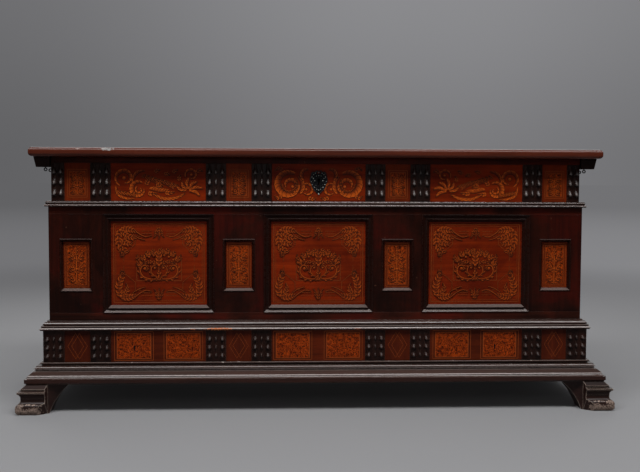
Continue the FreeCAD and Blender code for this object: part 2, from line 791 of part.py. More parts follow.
keep(back_foot, mirrored("foot_back_left", back_foot))

# Lid: two boards with a rounded edge at the front and ends, and a deep cleat at each end
lid_x = half_wide + s.lid_out
lid_front = front_y - s.lid_out
lid_back = back_y - s.lid_gap
round_in = s.lid_out - s.lid_round
thick, curve = s.lid_thick, s.lid_round
front_edge = [(lid_back - front_y, nil), (-round_in, nil), (-s.lid_out, curve, -curve),
              (-s.lid_out, thick - curve), (-round_in, thick, -curve),
              (lid_back - front_y, thick)]
lid_long = place(pad("lid_front_edge", "yz", front_edge, lid_x * 2), -lid_x, front_y, z_lid)
straight = lid_x - curve
end_edge = [(straight, nil), (lid_x, curve, curve), (lid_x, thick - curve),
            (straight, thick, curve), (-straight, thick), (-lid_x, thick - curve, curve),
            (-lid_x, curve), (-straight, nil, curve)]
lid_cross = place(pad("lid_end_edge", "xz", end_edge, lid_back - lid_front), nil, lid_front,
                  z_lid)
lid_slab = overlap("lid_slab", lid_long, lid_cross)
lid_joint = lid_back - s.lid_back_deep
lid_span = (-lid_x - s.overrun, lid_x + s.overrun)
lid_levels = (z_lid - s.overrun, z_lid_top + s.overrun)
front_zone = box("lid_front_zone", lid_span, (lid_front - s.overrun, lid_joint), lid_levels)
back_zone = box("lid_back_zone", lid_span, (lid_joint, lid_back + s.overrun), lid_levels)

cleat_z = z_lid - s.cleat_deep
cleat_inner = carcase_x + s.cleat_gap
cleat = pad("cleat_right", "xz",
            [(cleat_inner, cleat_z), (half_wide + s.cleat_foot_out - s.overrun / 3, cleat_z),
             (half_wide + s.cleat_foot_out, cleat_z + s.overrun / 3, s.overrun / 3),
             (half_wide + s.cleat_top_out, z_lid), (cleat_inner, z_lid)],
            lid_back - front_y + s.cleat_front_out)
place(cleat, y=front_y - s.cleat_front_out)
cleat.Label = "lid_cleat_right"
keep(cleat, mirrored("lid_cleat_left", cleat))

# Strap hinges: a long strap let in under the lid, a leaf on the back, and a loose pin
half_strap, half_tip = s.strap_wide / 2, s.strap_tip_wide / 2
half_knuckle = s.knuckle_long / 2
outer_knuckle = half_knuckle + s.knuckle_space + s.knuckle_long
strap_end = lid_back - s.strap_long
knuckle_at = dict(y=axis_y, z=axis_z)
bore_round = s.pin_round + s.pin_clearance
straps, strap_beds, leaves, pins = [], [], [], []
for side, sign in (("left", -1), ("right", 1)):
    x = s.hinge_place * sign
    blade = [(x - half_strap, lid_back), (x - half_tip, strap_end + s.strap_wide),
             (x - half_strap * 0.8, strap_end + s.strap_wide * 0.55), (x, strap_end),
             (x + half_strap * 0.8, strap_end + s.strap_wide * 0.55),
             (x + half_tip, strap_end + s.strap_wide), (x + half_strap, lid_back)]
    plate = place(pad(f"strap_plate_{side}", "xy", blade, s.strap_thick), z=z_lid)
    strap_beds.append(plate)
    tongue = box(f"strap_tongue_{side}", (x - half_knuckle, x + half_knuckle),
                 (lid_back, axis_y), (z_lid, z_lid + s.strap_thick))
    roll = rod(f"strap_roll_{side}", s.knuckle_round, "x", x - half_knuckle, s.knuckle_long, **knuckle_at)
    long_bore = rod(f"strap_bore_{side}", bore_round, "x", x - outer_knuckle - s.overrun,
                    (outer_knuckle + s.overrun) * 2, **knuckle_at)
    strap = cut(f"hinge_strap_{side}", fuse(f"strap_blank_{side}", plate, tongue, roll), long_bore)
    straps.append(strap)
    leaf_y = (back_y, back_y + s.strap_thick)
    leaf_parts = [box(f"leaf_plate_{side}", (x - outer_knuckle, x + outer_knuckle), leaf_y,
                      (axis_z - s.leaf_high, axis_z - s.knuckle_round - s.overrun))]
    for end_name, near in (("near", -outer_knuckle), ("far", half_knuckle + s.knuckle_space)):
        span = (x + near, x + near + s.knuckle_long)
        leaf_parts.append(box(f"leaf_arm_{end_name}_{side}", span, leaf_y,
                              (axis_z - s.leaf_high / 2, axis_z)))
        leaf_parts.append(rod(f"leaf_roll_{end_name}_{side}", s.knuckle_round, "x", span[0],
                              s.knuckle_long, **knuckle_at))
    leaf = cut(f"hinge_leaf_{side}", fuse(f"leaf_blank_{side}", *leaf_parts), long_bore)
    leaves.append(leaf)
    pins.append(rod(f"hinge_pin_{side}", s.pin_round, "x", x - outer_knuckle - s.pin_overhang,
                    (outer_knuckle + s.pin_overhang) * 2, **knuckle_at))
keep(group("hinge_straps", straps), group("hinge_leaves", leaves), group("hinge_pins", pins))

# Lock: an iron tray behind the front board, its bolt, and the staple that hangs from the lid
lock_x = (-s.lock_wide / 2, s.lock_wide / 2)
lock_z = (z_top - s.lock_top_gap - s.lock_high, z_top - s.lock_top_gap)
wall = s.lock_wall
lock_back = inner_y + s.lock_deep
tray = box("lock_blank", lock_x, (inner_y, lock_back), lock_z)
hollow = box("lock_hollow", (lock_x[0] + wall, lock_x[1] - wall),
             (inner_y - s.overrun, lock_back - wall), (lock_z[0] + wall, lock_z[1] - wall))
staple_y = inner_y + s.staple_slack + s.staple_leg / 2
staple_wide = s.staple_eye_wide + s.staple_leg * 2
slack = s.staple_slack + s.staple_thick / 2
mouth = box("lock_mouth", (-slack, slack),
            (inner_y - s.overrun, staple_y + staple_wide + s.staple_slack / 2),
            (lock_z[1] - wall - s.overrun, lock_z[1] + s.overrun))
bolt_z = z_top - s.bolt_drop
bolt_y = staple_y + s.staple_leg + (s.staple_eye_wide - s.bolt_deep) / 2
bolt_start = -s.bolt_tip - s.bolt_long
bed_z = (bolt_z - s.bolt_high - s.bolt_fit, bolt_z - s.bolt_fit)
bed_y = (bolt_y, lock_back - wall)
thrown_end = bolt_start + s.bolt_long + s.bolt_travel
beds = [box("bolt_bed_left", (bolt_start, -slack - s.staple_slack), bed_y, bed_z),
        box("bolt_bed_right", (slack + s.staple_slack, thrown_end + s.bolt_tip), bed_y, bed_z)]
keep(fuse("lock_case", cut("lock_tray", tray, hollow, mouth), *beds))
keep(box("lock_bolt", (bolt_start, bolt_start + s.bolt_long), (bolt_y, bolt_y + s.bolt_deep),
         (bolt_z, bolt_z + s.bolt_high)))
staple_foot = bolt_z - (s.staple_eye_high - s.bolt_high) / 2 - s.staple_leg
half_thick = s.staple_thick / 2
loop = box("staple_loop", (-half_thick, half_thick), (staple_y, staple_y + staple_wide),
           (staple_foot, z_lid + s.staple_plate_thick))
eye_z = staple_foot + s.staple_leg
eye = box("staple_eye", (-half_thick - s.overrun, half_thick + s.overrun),
          (staple_y + s.staple_leg, staple_y + s.staple_leg + s.staple_eye_wide),
          (eye_z, eye_z + s.staple_eye_high))
half_plate = s.staple_plate_long / 2
staple_bed = box("staple_plate", (-half_plate, half_plate),
                 (staple_y - s.staple_leg / 2, staple_y + staple_wide + s.staple_leg / 2),
                 (z_lid, z_lid + s.staple_plate_thick))
keep(fuse("lid_staple", cut("staple_pierced", loop, eye), staple_bed))

# The lid's boards, with beds for the straps and the staple's plate
keep(cut("lid_front_board", overlap("lid_front_blank", lid_slab, front_zone), staple_bed),
     cut("lid_back_board", overlap("lid_back_blank", lid_slab, back_zone), *strap_beds))

# Escutcheon: a cut iron plate of scrolls round the keyhole, drawn out to a point below
plate_y = carcase_y - s.upper_tablet_thick - s.escutcheon_thick


def disc(name, radius, x, z, deep=None):
    start = plate_y if deep is None else plate_y - s.overrun
    long = s.escutcheon_thick if deep is None else deep
    return rod(name, radius, "y", start, long, x=x, z=z)


scrolls, eyes = [disc("boss", s.boss_round, nil, z_keyhole)], []
through = s.escutcheon_thick + s.overrun * 2
for side, sign in (("left", -1), ("right", 1)):
    for part, radius, reach_x, reach_z in (
            ("upper", s.scroll_round, s.scroll_reach, s.boss_round * 0.75),
            ("middle", s.scroll_round * 0.8, s.scroll_reach * 1.12, -s.boss_round * 0.45),
            ("lower", s.lower_scroll_round, s.lower_scroll_reach, -s.lower_scroll_drop)):
        at = (reach_x * sign, z_keyhole + reach_z)
        scrolls.append(disc(f"{part}_scroll_{side}", radius, *at))
        if part != "middle":
            eyes.append(disc(f"{part}_eye_{side}", radius * 0.4, *at, deep=through))
scrolls.append(disc("crest", s.scroll_round * 0.8, nil, z_keyhole + s.boss_round))
drop_z = z_keyhole - s.drop_fall
scrolls.append(disc("drop", s.drop_round, nil, drop_z))
neck_z = z_keyhole - s.boss_round * 0.6
point = pad("drop_point", "xz", [(-s.drop_round * 0.9, drop_z), (nil, z_keyhole - s.drop_point),
                                 (s.drop_round * 0.9, drop_z), (s.boss_round * 0.75, neck_z),
                                 (-s.boss_round * 0.75, neck_z)], s.escutcheon_thick)
scrolls.append(place(point, y=plate_y))
keep(cut("escutcheon", fuse("escutcheon_blank", *scrolls), *eyes, keyhole))


# Iron eyes: a flat ring on a short neck, two in the case's sides and two under the cleats
def iron_eye(name, x, z, neck_x, neck_z):
    """A ring about the Y axis at x, z, and the neck that carries it between two limits."""
    first_y = front_y + s.eye_back
    ring = rod(name + "_ring", s.eye_round, "y", first_y, s.eye_thick, x=x, z=z)
    hole = rod(name + "_hole", s.eye_hole_round, "y", first_y - s.overrun,
               s.eye_thick + s.overrun * 2, x=x, z=z)
    stem = box(name + "_neck", neck_x, (first_y, first_y + s.eye_thick), neck_z)
    return cut(name, fuse(name + "_blank", ring, stem), hole)


neck = s.eye_round + s.eye_neck
half_eye = s.eye_thick / 2
case_eye_x = carcase_x + neck
case_eye = iron_eye("case_eye_right", case_eye_x, z_eye, (carcase_x, case_eye_x),
                    (z_eye - half_eye, z_eye + half_eye))
lid_eye_x = half_wide + s.cleat_foot_out * 0.38
lid_eye = iron_eye("lid_eye_right", lid_eye_x, cleat_z - neck,
                   (lid_eye_x - half_eye, lid_eye_x + half_eye), (cleat_z - neck, cleat_z))
keep(group("case_eyes", [case_eye, mirrored("case_eye_left", case_eye)]),
     group("lid_eyes", [lid_eye, mirrored("lid_eye_left", lid_eye)]))

# Check every object and piece, then write the files
doc.recompute()
bad = [thing.Name for thing in doc.Objects if {"Invalid", "Error"} & set(thing.State)]
for piece in pieces:
    shape = Part.getShape(piece)
    if shape.isNull() or not shape.isValid() or not shape.Solids:
        bad.append(piece.Label)
if bad:
    raise SystemExit("failed objects: " + ", ".join(bad))
for piece in pieces:
    shape = Part.getShape(piece)
    shape.exportStep(f"parts/{piece.Label}.step")
    bounds = shape.BoundBox
    print(f"{piece.Label}: {len(shape.Solids)} solids, {shape.Volume / 1000:.1f} cm3, "
          f"{bounds.XLength:.1f} x {bounds.YLength:.1f} x {bounds.ZLength:.1f}")
print(len(pieces), "pieces")
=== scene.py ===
import bmesh
import bpy
from math import cos, pi, radians, sin, sqrt
from mathutils import Matrix, Vector


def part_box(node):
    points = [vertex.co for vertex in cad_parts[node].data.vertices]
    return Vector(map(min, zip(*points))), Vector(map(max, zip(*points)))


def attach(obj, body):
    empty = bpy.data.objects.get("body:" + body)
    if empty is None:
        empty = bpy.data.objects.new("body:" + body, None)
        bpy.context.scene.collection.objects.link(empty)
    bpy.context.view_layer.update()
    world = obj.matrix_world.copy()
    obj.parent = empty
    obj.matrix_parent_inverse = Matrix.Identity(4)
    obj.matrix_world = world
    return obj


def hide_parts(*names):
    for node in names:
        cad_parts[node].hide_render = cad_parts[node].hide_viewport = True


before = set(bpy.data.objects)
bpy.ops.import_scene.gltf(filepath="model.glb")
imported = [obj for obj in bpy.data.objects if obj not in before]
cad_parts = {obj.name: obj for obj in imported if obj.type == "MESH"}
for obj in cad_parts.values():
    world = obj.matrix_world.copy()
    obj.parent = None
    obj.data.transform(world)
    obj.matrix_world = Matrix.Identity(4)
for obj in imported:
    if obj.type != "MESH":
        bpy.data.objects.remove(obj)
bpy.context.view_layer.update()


# Camera
# It stands where the photograph was taken from: a little left of the chest's middle,
# below the lid's top edge, 3 m in front of the frame, with a moderately long lens.
stand = Vector((-0.1451, -3.21425, 0.70445))
yaw, pitch, roll = 0.0502, 0.0634, 0.0041
scene = bpy.context.scene
lens = bpy.data.cameras.new("lens")
lens.lens, lens.sensor_width = 56.25, 36
camera = bpy.data.objects.new("camera", lens)
scene.collection.objects.link(camera)
look = Matrix.Rotation(-yaw, 4, "Z") @ Matrix.Rotation(pi / 2 - pitch, 4, "X")
camera.matrix_world = Matrix.Translation(stand) @ look @ Matrix.Rotation(roll, 4, "Z")
scene.camera = camera
scene.view_settings.view_transform = "Standard"


# Studio
# A wide pale grey floor that runs out to a pale grey surround, under a long soft box overhead, one
# behind for the upper edges and a weak strip for the carved tips.
class Socket:
    """One output of a node. Sums, differences and products with it add Math nodes."""

    def __init__(self, finish, output):
        self.finish, self.output = finish, output

    def maths(self, operation, *values):
        return self.finish.node("Math", {"operation": operation}, dict(enumerate(values)))

    def __add__(self, other):
        return self.maths("ADD", self, other)

    def __sub__(self, other):
        return self.maths("SUBTRACT", self, other)

    def __rsub__(self, other):
        return self.maths("SUBTRACT", other, self)

    def __mul__(self, other):
        return self.maths("MULTIPLY", self, other)

    __radd__, __rmul__ = __add__, __mul__


class Finish:
    """A material or world under construction."""

    def __init__(self, owner):
        owner.use_nodes = True
        self.owner, self.tree = owner, owner.node_tree
        self.tree.nodes.clear()

    def node(self, kind, settings=None, inputs=None, output=0):
        """Adds a node: first its settings, then the values or links of its sockets."""
        made = self.tree.nodes.new("ShaderNode" + kind)
        for name, value in (settings or {}).items():
            setattr(made, name, value)
        for name, value in (inputs or {}).items():
            if isinstance(value, Socket):
                self.tree.links.new(value.output, made.inputs[name])
            elif isinstance(value, tuple) and made.inputs[name].type == "RGBA":
                made.inputs[name].default_value = (*value, 1)
            else:
                made.inputs[name].default_value = value
        return Socket(self, made.outputs[output]) if len(made.outputs) else None

    def mix(self, share, first, second, blend="MIX"):
        settings = {"data_type": "RGBA", "blend_type": blend}
        return self.node("Mix", settings, {0: share, 6: first, 7: second}, output=2)

    def vector(self, operation, first, second=(0, 0, 0), output=0):
        return self.node("VectorMath", {"operation": operation}, {0: first, 1: second}, output)

    def part(self, vector, axis):
        return self.node("SeparateXYZ", {}, {0: vector}, output=axis)

    def place(self, stretch=(1, 1, 1)):
        """The point on the object, in metres, stretched along each axis."""
        return self.vector("MULTIPLY", self.node("TexCoord", output="Object"), stretch)

    def noise(self, scale=1, detail=3, roughness=0.55, distortion=0, where=None):
        inputs = {"Vector": where or self.place(), "Scale": scale, "Detail": detail,
                  "Roughness": roughness, "Distortion": distortion}
        return self.node("TexNoise", {}, inputs)

    def bump(self, strength, distance, height, **more):
        inputs = {"Strength": strength, "Distance": distance, "Height": height, **more}
        return self.node("Bump", {}, inputs)

    def between(self, value, low, high):
        """0 where the value is at low, 1 where it is at high, smooth between."""
        inputs = {"Value": value, "From Min": low, "From Max": high}
        settings = {"interpolation_type": "SMOOTHSTEP", "clamp": True}
        return self.node("MapRange", settings, inputs)

    def close(self, **sockets):
        """Ends the material with one Principled shader."""
        inputs = {name.replace("_", " "): value for name, value in sockets.items()}
        shader = self.node("BsdfPrincipled", {}, inputs)
        self.node("OutputMaterial", {}, {"Surface": shader})
        return self.owner


def new_finish(name):
    return Finish(bpy.data.materials.new(name))


def toned(colour, factor):
    """A colour made lighter or darker."""
    return tuple(min(part * factor, 1) for part in colour)


def stand_up(name, mesh):
    """An object for a mesh, in the scene."""
    made = bpy.data.objects.new(name, mesh)
    scene.collection.objects.link(made)
    return made


floor_colour, surround_colour = (0.27, 0.27, 0.278), (0.225, 0.225, 0.235)
floor_radius = 60
ground = bmesh.new()
bmesh.ops.create_circle(ground, cap_ends=True, segments=64, radius=floor_radius)
floor_mesh = bpy.data.meshes.new("studio_floor")
ground.to_mesh(floor_mesh)
floor = stand_up("studio_floor", floor_mesh)

# Beyond the soft boxes' reach the paper turns into the surround, which emits light of its own:
# painted light, dimmer to the left and right and brighter nearer, seen only by the camera and by
# reflections from behind. The studio is dark on the photographer's side, so nothing there is
# mirrored in the waxed fronts.
paper = new_finish("studio_paper")
spot = paper.place((1, 1, 0))
away = paper.vector("LENGTH", spot, output="Value")
rear = paper.part(spot, "Y")
mottle = paper.noise(0.9, where=spot)
shade = paper.mix(mottle, floor_colour, toned(floor_colour, 1.05))
lit = paper.node("BsdfDiffuse", {}, {"Color": shade})
mirrored = paper.node("LightPath", output="Is Glossy Ray") * paper.between(rear, 0.3, 1.6)
shown = paper.node("LightPath", output="Is Camera Ray") + mirrored
sideways = paper.part(spot, "X")
painted_falloff = 1 - paper.between(sideways, 0, -1.5) * 0.37 - paper.between(sideways, 0, 1.5) * 0.14
painted_glow = painted_falloff * (paper.between(away, 20, 5) * 0.34 + 0.86)
glowing_surround = paper.node("Emission", {}, {"Color": surround_colour, "Strength": shown * painted_glow})
sheet = paper.node("MixShader", {}, {0: paper.between(away, 1.6, 5.2), 1: lit, 2: glowing_surround})
paper.node("OutputMaterial", {}, {"Surface": sheet})
floor_mesh.materials.append(paper.owner)

world = bpy.data.worlds.new("surround")
scene.world = world
air = Finish(world)
aim = air.node("TexCoord", output="Generated")
sideways, ray, height = (air.part(aim, axis) for axis in "XYZ")
seen = air.node("LightPath", output="Is Camera Ray")
glossy = air.node("LightPath", output="Is Glossy Ray")
behind = air.between(ray, 0.25, 0.75)
horizon = air.between(ray, 0.1, 0.5) * (1 - air.between(height, 0.08, 0.24))
strength = glossy * (behind * 0.225 + 0.01) + (1 - glossy) * (horizon * 2.2 + 0.13)
ambient = air.node("Background", {}, {"Color": (1, 1, 1), "Strength": strength})
# The backdrop the camera sees is painted light: darker to the left and, less, to the right, and
# darker towards the horizon.
painted_falloff = 1 - air.between(sideways, 0.12, -0.28) * 0.38
painted_falloff = painted_falloff * (1 - air.between(sideways, 0.18, 0.42) * 0.17)
painted_glow = painted_falloff * (1.13 - air.between(height, 0.19, 0) * 0.27)
backdrop = air.node("Background", {}, {"Color": surround_colour, "Strength": painted_glow})
both = air.node("MixShader", {}, {0: seen, 1: ambient, 2: backdrop})
air.node("OutputWorld", {}, {"Surface": both})

for name, place, aim, wide, deep, watts in (
        ("soft_box_above", (0, -1.55, 2.9), (0, -0.25, 0.2), 4.1, 0.9, 110),
        ("soft_box_front", (-0.1, -2.9, 1.22), (0, -0.3, 0.7), 1.6, 0.16, 2.2),
        ("soft_box_behind", (0, 2.4, 2.4), (0, 0, 0.5), 5, 1.4, 60)):
    lamp = bpy.data.lights.new(name, "AREA")
    lamp.shape, lamp.size, lamp.size_y, lamp.energy = "RECTANGLE", wide, deep, watts
    holder = bpy.data.objects.new(name, lamp)
    holder.location = place
    holder.rotation_euler = (Vector(aim) - Vector(place)).to_track_quat("-Z", "Y").to_euler()
    holder.visible_camera = False
    scene.collection.objects.link(holder)


# Carcase
# Five walnut boards and a bottom, planed and nailed together and never polished inside:
# dry, brown, with open pores. Their grain runs along the chest or from front to back.
line_stretch = 900


def timber(name, along, dark, light, sheen=0.45, coat=0, worn=(0.3, 0.17, 0.11), wear=0.4,
           grime_and_shade=0.5, figure=1, gloss=0.3, arris=0.0016, dust_and_highlight=0, bare=0, tip_highlight=None,
           dust_and_highlight_below=0, stain=None, relief=0.0006, bruised=0, patches=()):
    """Walnut with its grain along one axis. Edges are rubbed paler and nicked, all along them if
    bare is 1, and hollows are darkened, as soiling and as painted shade. Faces that look up take
    the coat and a pale layer that is dust and a painted highlight, both mostly under a height if
    one is given. The carved tips may carry a painted highlight of a given strength and colour.
    Stain is the two tints of clouds in the wax, relief the depth of the open pores, and bruised
    how pale the small knocks are. Patches are (point, radius, stretch along X, colour) of surface
    worn through; one stretched to a line is a painted highlight along a moulding and is less
    ragged."""
    finish = new_finish(name)

    def grained(across, lengthwise):
        return finish.place(tuple(lengthwise if axis == along else across for axis in "xyz"))

    grain = finish.noise(1, 6, 0.62, 0.35, grained(90, 3.5))
    flame = finish.noise(1, 4, 0.5, 1.6, grained(13, 0.9))
    pores = finish.between(finish.noise(1, 2, where=grained(900, 36)), 0.6, 0.74)
    blotch = finish.noise(5.5, 4, 0.6)
    bands = finish.between(grain * 0.55 + flame * 0.45 * figure + blotch * 0.25, 0.36, 0.86)
    colour = finish.mix(bands, dark, light)
    if stain:
        cloud = finish.noise(4.6, 4, 0.62, 0.6)
        for tint, low, high in zip(stain, (0.46, 0.5), (0.62, 0.36)):
            colour = finish.mix(finish.between(cloud, low, high), colour,
                                finish.mix(1, colour, tint, "MULTIPLY"))
    colour = finish.mix(pores * 0.55, colour, toned(dark, 0.35))
    face = finish.node("NewGeometry", output="Normal")
    rise = finish.part(face, "Z")
    scuffs = finish.noise(120, 4, 0.7)
    upward = finish.between(rise, 0.25, 0.62)
    # Upward faces get a pale layer that is dust and a painted highlight, kept mostly under a given
    # height, as on the lower panel strips.
    if dust_and_highlight_below:
        level = finish.part(finish.place(), "Z")
        upward = upward * (finish.between(level, dust_and_highlight_below + 0.04, dust_and_highlight_below) * 0.72 + 0.28)
    if dust_and_highlight:
        dust_and_highlight_film = upward * (scuffs * 0.5 + grain * 0.5 + 0.35) * dust_and_highlight
        colour = finish.mix(dust_and_highlight_film, colour, toned(worn, 0.62))
    rounded = finish.node("Bevel", {"samples": 4}, {"Radius": arris})
    turn = finish.vector("DOT_PRODUCT", rounded, face, output="Value")
    edge = finish.between(1 - turn, 0.004, 0.12)
    kept = 0.62 - bare * 0.3
    rubbed = edge * finish.between(scuffs + blotch * 0.5, kept, kept + 0.33) * wear
    colour = finish.mix(rubbed, colour, worn)
    nicks = edge * finish.between(finish.noise(48, 5, 0.75), 0.665, 0.7) * wear
    colour = finish.mix(nicks, colour, toned(worn, 1.7))
    if bruised:
        dents = finish.between(finish.noise(62, 2, 0.5), 0.735, 0.755) * bruised
        colour = finish.mix(dents, colour, worn)
    # Hollows found by ambient occlusion darken towards near-black: soiling, and painted shade.
    hollow = finish.node("AmbientOcclusion", {"samples": 4, "only_local": True},
                         {"Distance": 0.018}, output="AO")
    dirt_and_shade = finish.between(1 - hollow, 0.25, 0.85) * grime_and_shade
    if grime_and_shade > 1:
        dirt_and_shade = dirt_and_shade.maths("MINIMUM", dirt_and_shade, 1)
    colour = finish.mix(dirt_and_shade, colour, (0.012, 0.008, 0.006))
    # Painted highlight down the middle of each carved tip.
    if tip_highlight:
        tip = finish.node("Attribute", {"attribute_name": "tip"}, output="Fac") * tip_highlight[0]
        colour = finish.mix(tip * (blotch * 0.6 + 0.6), colour, tip_highlight[1])
    rough = (1 - bands) * 0.07 + scuffs * 0.12 + dirt_and_shade * 0.35 + rubbed * 0.15 + (sheen - 0.08)
    for point, radius, stretch, tone in patches:
        offset = finish.vector("SUBTRACT", finish.place(), point)
        away = finish.vector("LENGTH", finish.vector("MULTIPLY", offset, (1 / stretch, 1, 1)),
                             output="Value")
        ragged = finish.noise(210, 3, 0.7)
        torn = 1.1 if stretch == line_stretch else 2.4
        spot = finish.between(radius - away + (ragged - 0.5) * radius * torn, 0, radius * 0.25)
        if stretch != line_stretch:
            tone = finish.mix(finish.between(ragged, 0.36, 0.64), toned(tone, 0.6),
                              toned(tone, 1.5))
        colour = finish.mix(spot, colour, tone)
        rough = rough + spot * 0.3
    height = grain * 0.5 + (1 - pores) * 0.35 + scuffs * 0.15 - rubbed * 0.4
    bump = finish.bump(0.35, relief, height, Normal=rounded)
    return finish.close(Base_Color=colour, Roughness=rough, Normal=bump,
                        Coat_Weight=upward * coat, Coat_Roughness=0.11, IOR=1.5,
                        Specular_IOR_Level=gloss)


def dress(material, *names):
    """Gives CAD pieces a finish."""
    for name in names:
        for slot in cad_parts[name].material_slots:
            slot.material = material


plain = dict(dark=(0.028, 0.0105, 0.0056), light=(0.084, 0.034, 0.0168), sheen=0.62, wear=0.3,
             worn=(0.3, 0.19, 0.12))
dress(timber("carcase_walnut", "x", **plain), "carcase_front", "back_boards", "bottom_boards")
dress(timber("carcase_walnut_end", "y", dark=(0.016, 0.0046, 0.0026),
             light=(0.06, 0.0175, 0.0088), sheen=0.42, gloss=0.12, wear=0.3),
      "carcase_left", "carcase_right")


# Framed front and sides
# Dark waxed walnut rails, stiles and muntins, pegged over the carcase. Rails run along the chest,
# stiles and muntins upright; their hollows are painted darker, as soiling in the wax and as shade.
waxed = dict(dark=(0.0085, 0.0023, 0.0016), light=(0.036, 0.007, 0.0037), sheen=0.34,
             gloss=0.1, wear=0.35, worn=(0.115, 0.05, 0.03), grime_and_shade=0.6, figure=1.2,
             stain=((1.75, 0.95, 0.9), (0.52, 0.66, 0.7)), bruised=0.6)
rail_wax = timber("waxed_walnut_rail", "x", **dict(waxed, light=(0.05, 0.0092, 0.0046)))
post_wax = timber("waxed_walnut_post", "z", **dict(waxed, light=(0.027, 0.005, 0.0026)))
side_wax = timber("waxed_walnut_side", "y", **waxed)
dress(rail_wax, "front_bottom_rail", "front_top_rail", "head_rail", "plinth_board_front")
dress(post_wax, "front_stile_left", "front_stile_right", "front_muntin_left",
      "front_muntin_right", "left_side_frame", "right_side_frame")
dress(side_wax, "plinth_board_left", "plinth_board_right", "left_panel_moulding",
      "right_panel_moulding")


# Panel mouldings
# Narrow mitred strips of the same dark walnut round every sunk panel. Their upper faces are rubbed
# and catch the light, and carry pale dust that is also a painted highlight, mostly on the lower
# strips.
strip_wax = dict(dark=(0.011, 0.0034, 0.0024), light=(0.02, 0.0053, 0.0034), sheen=0.27,
                 gloss=0.13, coat=0.45, wear=0.08, worn=(0.26, 0.195, 0.175), grime_and_shade=0.6,
                 dust_and_highlight=0.68, dust_and_highlight_below=0.42, relief=0.00015)
dress(timber("waxed_walnut_strip", "x", **strip_wax), "large_panel_mouldings",
      "small_panel_mouldings")


# Marquetry grounds
# Sawn veneers of warmer walnut and fruitwood glued over the panels and tablets and waxed
# orange. Grain runs along the long tablets and upright on the narrow ones.
veneer = dict(sheen=0.36, gloss=0.09, wear=0.1, grime_and_shade=0.35, figure=0.6, relief=0.0003,
              stain=((1.18, 1.1, 0.95), (0.74, 0.68, 0.72)))
ground_x = timber("veneer_ground_x", "x", dark=(0.105, 0.0085, 0.001),
                  light=(0.25, 0.025, 0.0022), **veneer)
ground_z = timber("veneer_ground_z", "z", dark=(0.098, 0.011, 0.0016),
                  light=(0.205, 0.025, 0.0036), **veneer)
red_x = timber("veneer_red_x", "x", dark=(0.052, 0.0075, 0.0022),
               light=(0.118, 0.0165, 0.004), **veneer)
red_z = timber("veneer_red_z", "z", dark=(0.04, 0.006, 0.0022),
               light=(0.096, 0.0145, 0.004), **veneer)
dress(ground_x, "large_panel_left", "large_panel_middle", "large_panel_right",
      "upper_tablet_left", "upper_tablet_middle", "upper_tablet_right")
dress(ground_z, "small_panels", "upper_small_tablets")
dress(red_x, "lower_long_tablets")
dress(red_z, "lower_small_tablets")


# Marquetry of the large panels
# Leaf scrolls of pale fruitwood let into the veneer, each shape scorched darker along one
# edge and outlined with dark glue, inside thin stringing lines.
def smooth(points, steps):
    """Points along a soft curve through the given ones."""
    points = [Vector(point) for point in points]
    last = len(points) - 1
    path = []
    for number in range(last):
        a, b, c, d = (points[min(max(end, 0), last)] for end in range(number - 1, number + 3))
        for step in range(steps):
            t = step / steps
            path.append(0.5 * (2 * b + (c - a) * t + (2 * a - 5 * b + 4 * c - d) * t ** 2
                               + (3 * b - a - 3 * c + d) * t ** 3))
    return path + [points[-1]]


def inlaid_wood(name, dark, light):
    """Pale veneer whose colour follows the scorched shading along each shape."""
    finish = new_finish(name)
    scorch = finish.node("Attribute", {"attribute_name": "scorch"}, output="Fac")
    fibre = finish.noise(1, 4, 0.6, where=finish.place((500, 500, 160)))
    patch = finish.noise(60, 3)
    tone = finish.between(scorch + fibre * 0.35 + patch * 0.45, 0.25, 1.35)
    colour = finish.mix(tone, light, dark)
    rough = fibre * 0.15 + 0.32
    bump = finish.bump(0.3, 0.0004, fibre)
    return finish.close(Base_Color=colour, Roughness=rough, Normal=bump,
                        Specular_IOR_Level=0.14)


pale_leaf = inlaid_wood("inlay_fruitwood", (0.12, 0.014, 0.0016), (0.5, 0.084, 0.0058))
dark_line = inlaid_wood("inlay_dark_line", (0.022, 0.0045, 0.0015), (0.042, 0.008, 0.002))
# Near-black: painted shade for keyholes that are not cut.
painted_keyhole_shade = inlaid_wood("painted_keyhole_shade", (0.0015, 0.0008, 0.0006), (0.003, 0.0015, 0.001))
string_wood = inlaid_wood("inlay_stringing", (0.2, 0.034, 0.005), (0.33, 0.064, 0.0095))
first_level, level_step = 0.00006, 0.0000022


def skin(shape, rows, closed=False):
    """Faces between each row of corners and the next."""
    faces = []
    for first, second in zip(rows, rows[1:]):
        for number in range(len(first) - (not closed)):
            after = (number + 1) % len(first)
            faces.append(shape.faces.new((first[number], first[after], second[after],
                                          second[number])))
    return faces


def fix_on(name, shape, slot, *materials):
    """One visible piece that rides on the case."""
    mesh = bpy.data.meshes.new(name)
    shape.to_mesh(mesh)
    for material in materials:
        mesh.materials.append(material)
    made = stand_up(name, mesh)
    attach(made, "case")
    return made


def left_of(path, number):
    """The unit vector that points to the left of a path at one of its points."""
    along = (path[min(number + 1, len(path) - 1)] - path[max(number - 1, 0)]).normalized()
    return Vector((-along.y, along.x))


